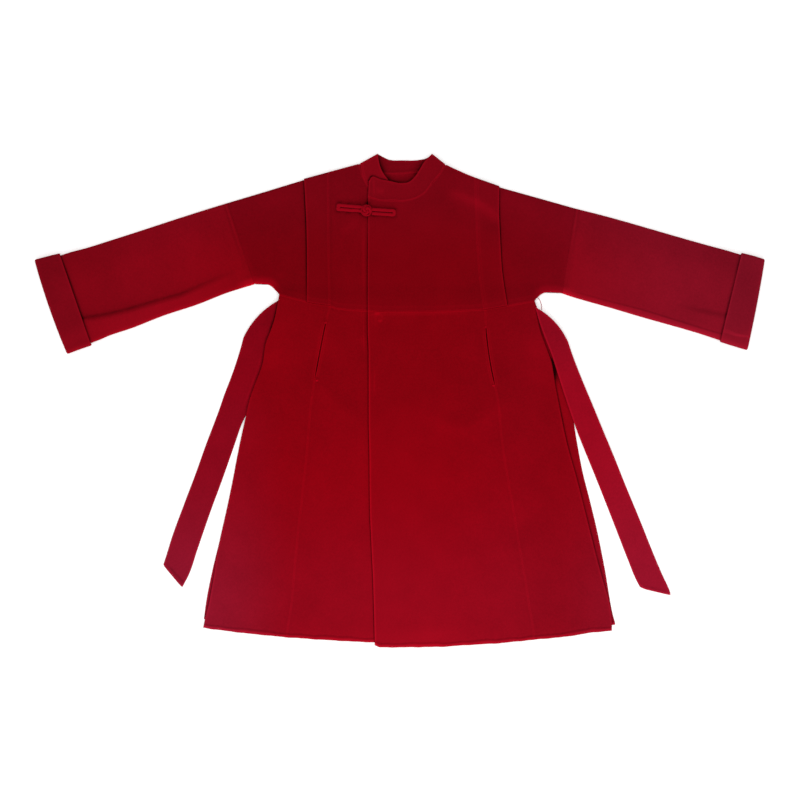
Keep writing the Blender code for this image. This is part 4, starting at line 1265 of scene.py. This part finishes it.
RIGHT_BODICE_FOLDS = rows_of(
    Fold,
    ([(-122, 336), (-100, 348), (-80, 362)], 8, 8, 0.8, 0.12),
    ([(-71, 372), (-71, 280), (-71, 170)], 1.5, 1.5, 0.1, 0.22),
    ([(-75.3, 372), (-75.3, 280), (-75.3, 170)], 1.5, 1.5, 0, 0.10),
    (edge_path(STRIP_SEAM_RIGHT, 190, 455, 5), 2.5, 2.5, 0, -0.06))
COLLAR_OVER_FOLDS = rows_of(
    Fold,
    ([(-51.5, 446), (-51.5, 426), (-51, 404)], 1.8, 1.8, 0.5, 0.22),
    ([(-50, 419), (-40, 419), (-28, 418)], 6, 6, 0.5, 0.16))
COLLAR_BACK_FOLDS = rows_of(
    Fold,
    ([(-26, 470), (4, 466), (34, 470)], 5, 4, 0.4, 0.06))
CREASE_RIGHT = Crease([(-640, 160), (-629, 165), (-579, 174), (-535, 185), (-478, 202), (-438, 213),
                       (-371, 242), (-335, 257)], -1, 4, 10, 46, 1, 0.36, 0.12, 0.19,
                      (0.9, 1, 1, 1, 0.9, 0.6, 0.15))
CREASE_LEFT = Crease([(700, 111), (643, 133), (560, 159), (482, 183), (407, 202), (338, 221)], 1, 1.2, 3,
                     18, 0.45, 0.14, 0.02, 0.26, (1, 1, 1, 0.8, 0.5))
SLEEVE_LEFT_FOLDS = rows_of(
    Fold,
    ([(550, 192), (582, 185), (620, 177), (653, 170), (700, 160)], 5, 5, -0.6, -0.18),
    ([(580, 174), (620, 166), (653, 158), (700, 148)], 8, 8, 0.6, 0.05))
CUFF_LEFT_FOLDS = rows_of(
    Fold,
    ([(634, 145), (655, 140), (670, 133), (696, 128), (730, 124)], 2, 2.2, 0.5, 0.30),
    ([(634, 138), (652, 137), (668, 131), (684, 128), (700, 129)], 1.8, 1.8, 0.4, 0.26),
    ([(620, 128), (662, 118), (690, 112), (740, 104)], 12, 12, 0.4, 0.14))
CUFF_RIGHT_FOLDS = rows_of(
    Fold,
    ([(-690, 112), (-660, 120), (-630, 132), (-600, 140)], 16, 10, 0.5, 0.14),
    ([(-716, 270), (-700, 220), (-684, 170)], 12, 12, -0.4, -0.06))
BELT_RIGHT_FOLDS = rows_of(
    Fold,
    ([(-268, 130), (-277, 88), (-282, 64), (-292, 40), (-300, 16), (-311, -8), (-322, -32)],
     1.8, 1.8, 0.2, 0.20),
    ([(-254, 192), (-262, 168), (-276, 140)], 10, 10, -0.4, -0.10))

# The edges of the cuffs on the sleeves
CUFF_EDGE_RIGHT = [(-679, 294), (-615, 110)]
CUFF_EDGE_LEFT = [(683, 295), (640, 117)]


def slit_shade(edge, slit):
    """The painted shade inside a pocket slit."""
    return Shade(edge_path(edge, slit.low, slit.high), 4, 0, 0.6, (1, 1))


# Crevices: their path, width and depth, how dark their painted shade is, and how strong along the path
FRONT_SHADE = Shade(np.concatenate([edge_path(FRONT_EDGE, -489, 407), [(-61.8, 438), (-56, 448)]]), 1.2,
                    0.9, 0.95, (0.8, 0.9, 0.75, 0.8, 0.8, 0.8, 0.95, 0.85, 0.9, 0.9, 0.8))
STRIP_RIGHT_SHADE = Shade(edge_path(STRIP_EDGE_RIGHT, 196, 450, -0.5), 1.7, 1, 0.9,
                          (0.2, 0.8, 1, 1, 1, 0.6))
STRIP_LEFT_SHADE = Shade(edge_path(STRIP_EDGE_LEFT, 190, 430, 0.5), 1.3, 1, 0.9,
                         (0.5, 0.8, 0.9, 1.1, 0.9, 0.5))
SIDE_RIGHT_SHADE = Shade(edge_path(SIDE_RIGHT, -120, 205, -0.5), 1.8, 0.9, 0.9,
                         (0.2, 0.2, 0.3, 0.4, 0.5, 1, 0.8))
HEM_RIGHT_SHADE = Shade(edge_path(SIDE_RIGHT, -446, -316, -0.6), 1.6, 0.6, 0.7, (0.8, 1, 1, 1, 0.8, 0.2))
SIDE_LEFT_SHADE = Shade(edge_path(SIDE_LEFT, -462, 180, 1), 1.5, 0.8, 1,
                        (0.4, 0.5, 0.6, 0.6, 0.55, 0.6, 0.85, 0.6, 0.5, 0.3))
BELT_LEFT_SHADE = Shade(line_of(BELT_LEFT_ROWS, 2)[:60], 1.6, 0.4, 0.5, (0.3, 0.4, 0.8, 0.6, 0.4, 0.3))
WEDGE_SHADE = Shade([(306, 80), (310, 61), (314, 40)], 3.6, 0.2, 0.9, (0.7, 1, 1, 0.5))
COLLAR_OVER_SHADE = Shade(line_of(COLLAR_OVER_ROWS, 2), 2.6, 0.6, 0.9, (0.5, 0.8, 1, 1, 1, 0.9, 0.7, 0.4))
COLLAR_UNDER_SHADE = Shade(line_of(COLLAR_UNDER_ROWS, 2), 4.2, 0.4, 0.8, (0.5, 1, 1, 1, 0.8, 0.6))
CUFF_RIGHT_SHADE = Shade(CUFF_EDGE_RIGHT, 2.6, 0.8, 0.95, (0.5, 0.8, 1, 1, 1, 1, 0.8, 0.7))
CUFF_LEFT_SHADE = Shade(CUFF_EDGE_LEFT, 2, 0.8, 0.95, (0.6, 0.8, 0.6, 0.7, 0.9, 1, 0.8, 0.8))
TIP_RIGHT_SHADE = Shade([(-464, -326), (-448, -347), (-431, -364)], 1.2, 0.5, 0.32, (0.6, 1, 1, 0.7))
TIP_LEFT_SHADE = Shade([(534, -381), (512, -377), (490, -370)], 1.2, 0.4, 0.25, (0.5, 1, 0.7))
SLIT_SHADES = [slit_shade(PRINCESS_RIGHT, RIGHT_SLIT), slit_shade(PRINCESS_LEFT, LEFT_SLIT)]


def frog_shades():
    """The crevices round the frog's arms and its knot, with their painted shade."""
    shades = []
    for arm in (FROG_ARM_RIGHT, FROG_ARM_LEFT):
        place, length = arm_frame(arm)
        half = ARM_WIDTH / 2 + 0.4
        outline = place([(length, half), (-0.5, half), (-0.5, -half), (length, -half)])
        shades.append(Shade(outline, 1.4, 0.4, 0.52, (1, 1, 1, 0.7, 0.9, 1, 1)))
    ring = circle(KNOT_X, KNOT_Y, 12.4, np.linspace(0, 2 * np.pi, 30))
    shades.append(Shade(ring, 1.6, 0.3, 0.50, (0.8, 1, 1, 0.8, 0.6, 0.6, 0.8)))
    shades.append(Shade([(-67, 394.5), (-61, 394)], 2.6, 0.3, 0.6, (1, 1)))
    return shades


def make_skirt():
    """The back skirt and the four skirt panels."""
    waist = Seamed(WAIST, -HALF_SEAM)
    under_hem, over_hem = Seamed(HEM_UNDER, 0, 1), Seamed(HEM_OVER, 0, 1)
    right_seam, left_seam = princess(RIGHT_SLIT), princess(LEFT_SLIT)
    back_shades = SLIT_SHADES + [SIDE_LEFT_SHADE, BELT_LEFT_SHADE, WEDGE_SHADE, HEM_RIGHT_SHADE]
    lit_below = FREE + (("lit", lambda x, y: 0.6 * smooth(y, 150, 60)),)

    def skirt(name, left, right, hem, height, kinds, looks, top=waist, **grid):
        edges = {"left": kinds[0], "right": kinds[1], "low": HEMMED, "high": WAIST_SEAM}
        folds, shades, *spots = looks
        return panel(name, left, right, hem, top, height, edges, SKIRT,
                     relief=folded(folds, shades, [skirt_wash] + spots), **grid)

    return [
        skirt("back_skirt_cloth", offset(BACK_SIDE_RIGHT), offset(BACK_SIDE_LEFT),
              Seamed(HEM_BACK, 0, 1), back_height, (BENEATH + (("lit", 1),), FREE),
              ([], back_shades, even(0.05), spot(326, 0, 24, 60, 0.12)),
              Seamed(BACK_WAIST, -HALF_SEAM), cell=9, margins=WIDE_MARGINS),
        skirt("side_skirt_right_cloth", offset(SIDE_RIGHT), slit_edge(PRINCESS_RIGHT, -1, RIGHT_SLIT),
              under_hem, front_height, (ROLLED, right_seam),
              (RIGHT_SKIRT_FOLDS, [], spot(-248, 100, 40, 60, 0.09))),
        skirt("front_skirt_right_cloth", slit_edge(PRINCESS_RIGHT, 1, RIGHT_SLIT), offset(HIDDEN_EDGE),
              under_hem, front_height, (right_seam, FREE), (RIGHT_SKIRT_FOLDS, [FRONT_SHADE]),
              upon=offset(FRONT_EDGE)),
        skirt("front_skirt_left_cloth", offset(FRONT_EDGE), slit_edge(PRINCESS_LEFT, -1, LEFT_SLIT),
              over_hem, over_height, (lit_below, left_seam), (LEFT_SKIRT_FOLDS, []), margins=WIDE_MARGINS),
        skirt("side_skirt_left_cloth", slit_edge(PRINCESS_LEFT, 1, LEFT_SLIT), offset(SIDE_LEFT),
              over_hem, front_height, (left_seam, ROLLED),
              (LEFT_SKIRT_FOLDS, [], spot(285, 84, 36, 60, 0.14), spot(204, 60, 26, 50, -0.09))),
    ]


def armhole(corner_y):
    """The kinds of edge along an armhole, which change above the underarm's corner."""
    def open_side(x, y):
        return 1 - smooth(y, corner_y + 0.2, corner_y + 1.2)

    def pressed(x, y):
        return smooth(y, corner_y + 30, corner_y + 140)
    return ("over", open_side), ("pressed", pressed)


def make_bodice():
    """The back, side and front bodices, and the shoulder strips."""
    waist = Seamed(WAIST, HALF_SEAM)
    frog = frog_shades()

    def bodice(name, left, right, top, height, edges, looks, material=BODICE, cell=5, upon=None):
        folds, shades, *rims = looks
        return panel(name, left, right, waist, top, height, dict(edges, low=WAIST_SEAM_ABOVE), material,
                     cell, folded(folds, shades, [shoulder_wash] + rims), upon=upon)

    return [
        panel("back_bodice_cloth", ARMHOLE_RIGHT, ARMHOLE_LEFT, Seamed(BACK_WAIST, HALF_SEAM),
              Seamed(BACK_TOP, -HALF_SEAM), back_height,
              {"low": WAIST_SEAM, "high": (("seam", 0.8), ("under", 1))}, BODICE, 8,
              folded([], [COLLAR_OVER_SHADE, COLLAR_UNDER_SHADE], [neck_wash])),
        bodice("side_bodice_right_cloth", ARMHOLE_RIGHT, offset(STRIP_SEAM_RIGHT, -1),
               Seamed(SHOULDER_RIGHT), front_height, {"left": armhole(233.1), "high": OVER},
               (SIDE_RIGHT_FOLDS, [STRIP_RIGHT_SHADE], RIM_RIGHT, beside_armhole), SIDE, 6,
               offset(STRIP_EDGE_RIGHT)),
        bodice("side_bodice_left_cloth", offset(STRIP_SEAM_LEFT, 1), ARMHOLE_LEFT,
               Seamed(SHOULDER_LEFT), front_height, {"right": armhole(216.2), "high": OVER},
               (SIDE_LEFT_FOLDS, [STRIP_LEFT_SHADE], RIM_LEFT, beside_armhole), SIDE, 6,
               offset(STRIP_EDGE_LEFT)),
        bodice("front_bodice_right_cloth", offset(STRIP_SEAM_RIGHT, 1), offset(HIDDEN_EDGE),
               Seamed(FRONT_TOP_RIGHT, -HALF_SEAM), front_height,
               {"left": (("seam", 0.45), ("raised", 1)), "right": FREE, "high": NECK_SEAM},
               (RIGHT_BODICE_FOLDS, [FRONT_SHADE] + frog), upon=offset(FRONT_EDGE)),
        bodice("front_bodice_left_cloth", offset(FRONT_EDGE), offset(STRIP_SEAM_LEFT, -1),
               Seamed(FRONT_TOP_LEFT, -HALF_SEAM), over_height,
               {"left": FREE, "right": (("seam", 0.6), ("raised", 1)), "high": NECK_SEAM},
               (LEFT_BODICE_FOLDS, frog)),
        bodice("shoulder_strip_right_cloth", offset(STRIP_EDGE_RIGHT), offset(STRIP_SEAM_RIGHT, -1),
               Seamed(STRIP_TOP_RIGHT), strip_height,
               {"left": FREE, "right": (("seam", 0.6), ("lowered", 1)), "high": OVER}, ([], [])),
        bodice("shoulder_strip_left_cloth", offset(STRIP_SEAM_LEFT, 1), offset(STRIP_EDGE_LEFT),
               Seamed(STRIP_TOP_LEFT), strip_height,
               {"left": (("seam", 0.6), ("near_allowance", 1), ("lowered", 1)), "right": FREE,
                "high": OVER}, (LEFT_BODICE_FOLDS, [])),
    ]


def make_collar():
    """The collar band's three stretches."""
    ends = {"high": FREE, "left": FREE, "right": FREE}
    return [
        make_collar_stretch(
            "collar_back_cloth", COLLAR_BACK_ROWS, back_height, {"low": NECK_SEAM, "high": FREE},
            folded(COLLAR_BACK_FOLDS, [COLLAR_OVER_SHADE, COLLAR_UNDER_SHADE], [even(-0.14)])),
        make_collar_stretch(
            "collar_under_cloth", COLLAR_UNDER_ROWS, front_height,
            dict(ends, low=(("seam", 1), ("near_allowance", 1.7))),
            folded([], [COLLAR_OVER_SHADE, FRONT_SHADE], [even(0.11)])),
        make_collar_stretch(
            "collar_over_cloth", COLLAR_OVER_ROWS, over_height, dict(ends, low=NECK_SEAM),
            folded(COLLAR_OVER_FOLDS, [], [even(-0.04)])),
    ]


def make_sleeves():
    """Both sleeves and their turned-back cuffs."""
    right = creased([CREASE_RIGHT], CUFF_EDGE_RIGHT, [], [CUFF_RIGHT_SHADE],
                    [sleeve_wash, RIM_RIGHT, spot(-350, 340, 45, 70, -0.10)])
    left = creased([CREASE_LEFT], CUFF_EDGE_LEFT, SLEEVE_LEFT_FOLDS, [CUFF_LEFT_SHADE],
                   [sleeve_wash, RIM_LEFT, spot(385, 318, 55, 45, -0.16), spot(452, 284, 50, 30, -0.08),
                    spot(610, 140, 70, 22, 0.12)])
    cuff_right = folded(CUFF_RIGHT_FOLDS, [], [spot(-690, 270, 60, 35, -0.12)])
    cuff_left = folded(CUFF_LEFT_FOLDS, [], [spot(690, 240, 60, 45, -0.10), spot(680, 130, 60, 25, 0.10)])
    return [
        make_sleeve("sleeve_right_cloth", SLEEVE_RIGHT_ROWS, right, 11, SLEEVE_RIGHT),
        make_sleeve("sleeve_left_cloth", SLEEVE_LEFT_ROWS, left, 7, SLEEVE_LEFT),
        make_cuff("cuff_right_cloth", CUFF_RIGHT_ROWS, CUFF_BOW["right"], cuff_right, CUFF_RIGHT),
        make_cuff("cuff_left_cloth", CUFF_LEFT_ROWS, CUFF_BOW["left"], cuff_left, CUFF_LEFT),
    ]


def make_belt():
    """The belt behind the waist and its two ends."""
    top = np.array([(-236, BELT_TOP_Y), (268, BELT_TOP_Y)])
    low = np.array([(-303, BELT_BOTTOM_Y), (323, BELT_BOTTOM_Y)])
    lines = (low, top, straight(low[0], top[0]), straight(low[1], top[1]))
    return [
        sheet_of("belt_back_cloth", lines, lambda x, y: np.zeros(np.shape(x)), {"low": FREE, "high": FREE},
                 BELT_RIGHT, 10, FEW_MARGINS, BELT, folded()),
        make_belt_end("belt_end_right_cloth", BELT_RIGHT_ROWS, belt_right_height, BELT_RIGHT,
                      folded(BELT_RIGHT_FOLDS, [SIDE_RIGHT_SHADE, TIP_RIGHT_SHADE], [belt_right_wash])),
        make_belt_end("belt_end_left_cloth", BELT_LEFT_ROWS, belt_left_height, BELT_LEFT,
                      folded([], [TIP_LEFT_SHADE], [belt_left_wash])),
    ]


# Bar tacks: how many threads, half their length, how far apart and how thick they are, the thickness of
# the belt's loop, and for each tack its place, its lean and its tone
TACK_THREADS = 4
TACK_HALF = 2.6
TACK_STEP = 0.8
TACK_RADIUS = 0.42
LOOP_RADIUS = 0.5
TACKS = ((-164.5, 39.5, 0.18, 0.6), (-147.5, 155, 0.18, 0.25), (188, 29.5, -0.2, 0.6),
         (172.5, 146.5, -0.2, 0.25))
# The middle line of the thread loop: x, y and height
BELT_LOOP = [(268, 208, 4), (274.5, 206.5, 3), (279.5, 202, 1.4), (282.8, 195, 0.9), (284.3, 188, 1),
             (284, 181, 1.8)]


def bar_tack(cords, x, y, lean, tone):
    """A few threads laid side by side across the end of a pocket slit."""
    across = np.array([np.cos(lean), np.sin(lean)])
    ahead = np.array([-across[1], across[0]])
    base = over_height(x, y) + CLOTH + 0.6
    reach = np.linspace(-TACK_HALF, TACK_HALF, 7)
    for k in range(TACK_THREADS):
        middle = np.array([x, y]) + ahead * (k - (TACK_THREADS - 1) / 2) * TACK_STEP
        plan = middle + np.outer(reach, across)
        height = base + 0.5 * (1 - (reach / TACK_HALF) ** 2)
        cords.add(sweep(np.column_stack([plan, height]), TACK_RADIUS, TACK_RADIUS, 8), tone=tone)


def make_threads():
    """The bar tacks at the pocket slits and the thread loop that holds the belt at the left side."""
    tacks = Cords()
    for place in TACKS:
        bar_tack(tacks, *place)
    loop = sweep(smooth_path(BELT_LOOP, 6), LOOP_RADIUS, LOOP_RADIUS, 8)
    return [tacks.make("pocket_tacks_cord"), make_cord("belt_loop_cord", loop, tone=0.4)]


# Each sheet's cut: width, length, area in square metres, what it lies on, and how it is held
Cut = namedtuple("Cut", "width length area rests_on held", defaults=("laid",))
CUTS = {
    "back_skirt": Cut(0.823, 0.688, 0.455, ["belt_back"]),
    "side_skirt_right": Cut(0.253, 0.685, 0.093, ["back_skirt", "belt_end_right"]),
    "front_skirt_right": Cut(0.301, 0.674, 0.178, ["back_skirt"]),
    "front_skirt_left": Cut(0.334, 0.675, 0.187, ["back_skirt", "front_skirt_right"]),
    "side_skirt_left": Cut(0.253, 0.677, 0.090, ["back_skirt"]),
    "back_bodice": Cut(0.696, 0.283, 0.158, ["belt_back"]),
    "side_bodice_right": Cut(0.207, 0.266, 0.039, ["back_bodice"]),
    "side_bodice_left": Cut(0.199, 0.263, 0.039, ["back_bodice"]),
    "front_bodice_right": Cut(0.219, 0.295, 0.053, ["back_bodice"]),
    "front_bodice_left": Cut(0.237, 0.294, 0.057, ["back_bodice", "front_bodice_right"]),
    "shoulder_strip_right": Cut(0.054, 0.267, 0.0125, ["side_bodice_right"]),
    "shoulder_strip_left": Cut(0.063, 0.263, 0.0118, ["side_bodice_left"]),
    "collar_back": Cut(0.170, 0.039, 0.0041, []),
    "collar_under": Cut(0.170, 0.045, 0.0066, ["collar_back"]),
    "collar_over": Cut(0.170, 0.045, 0.0066, ["collar_under"]),
    "sleeve_right": Cut(0.374, 0.408, 0.140, ["cuff_right"]),
    "sleeve_left": Cut(0.354, 0.394, 0.133, ["cuff_left"]),
    "cuff_right": Cut(0.390, 0.066, 0.0245, [], "folded"),
    "cuff_left": Cut(0.372, 0.065, 0.0230, [], "folded"),
    "belt_back": Cut(0.626, 0.052, 0.0294, []),
    "belt_end_right": Cut(0.056, 0.605, 0.0315, ["belt_back"], "folded"),
    "belt_end_left": Cut(0.056, 0.605, 0.0285, ["belt_back", "back_skirt"], "folded"),
}


def main():
    pieces = make_skirt() + make_bodice() + make_collar() + make_sleeves() + make_belt() + make_frog()
    for item in pieces + make_threads():
        node, _, kind = item.name.rpartition("_")
        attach(item, "root")
        if item in pieces:
            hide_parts(node)
        if node in CUTS:
            cut = CUTS[node]
            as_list(cut.rests_on)


# The floor's size and height in metres, and the softboxes: place, size and power
FLOOR_SIZE = 60
FLOOR_Z = -0.0004
LIGHTS = (((0, -3.2, 2), (3.4, 1.4), 84), ((0, 1.6, 2.8), (3, 1.6), 16))
WHITE = (1, 1, 1, 1)


def make_stage():
    """A white floor, a bright surrounding, two softboxes and the camera straight above."""
    bpy.ops.mesh.primitive_plane_add(size=FLOOR_SIZE, location=(0, 0, FLOOR_Z))
    floor = bpy.context.object
    floor.name = "floor"
    material, shader = new_material("floor")
    set_inputs(shader, {"Base Color": (0.94, 0.94, 0.94, 1), "Roughness": 0.9, "Specular IOR Level": 0.1,
                        "Emission Color": WHITE, "Emission Strength": 0.22})
    floor.data.materials.append(material)

    world = bpy.data.worlds.new("studio")
    bpy.context.scene.world = world
    world.use_nodes = True
    set_inputs(world.node_tree.nodes["Background"], {"Color": WHITE, "Strength": 0.80})
    for place, size, power in LIGHTS:
        light = bpy.data.lights.new("softbox", "AREA")
        light.shape = "RECTANGLE"
        light.size, light.size_y = size
        light.energy = power
        lamp = placed("softbox", light)
        lamp.location = place
        lamp.rotation_mode = "QUATERNION"
        lamp.rotation_quaternion = (-Vector(place)).to_track_quat("-Z", "Y")

    camera = bpy.data.cameras.new("camera")
    camera.lens = 90
    camera.sensor_width = 36
    eye = placed("camera", camera)
    eye.location = (0.001, 0.001, 4)
    bpy.context.scene.camera = eye
    bpy.context.scene.view_settings.view_transform = "Standard"


main()
make_stage()
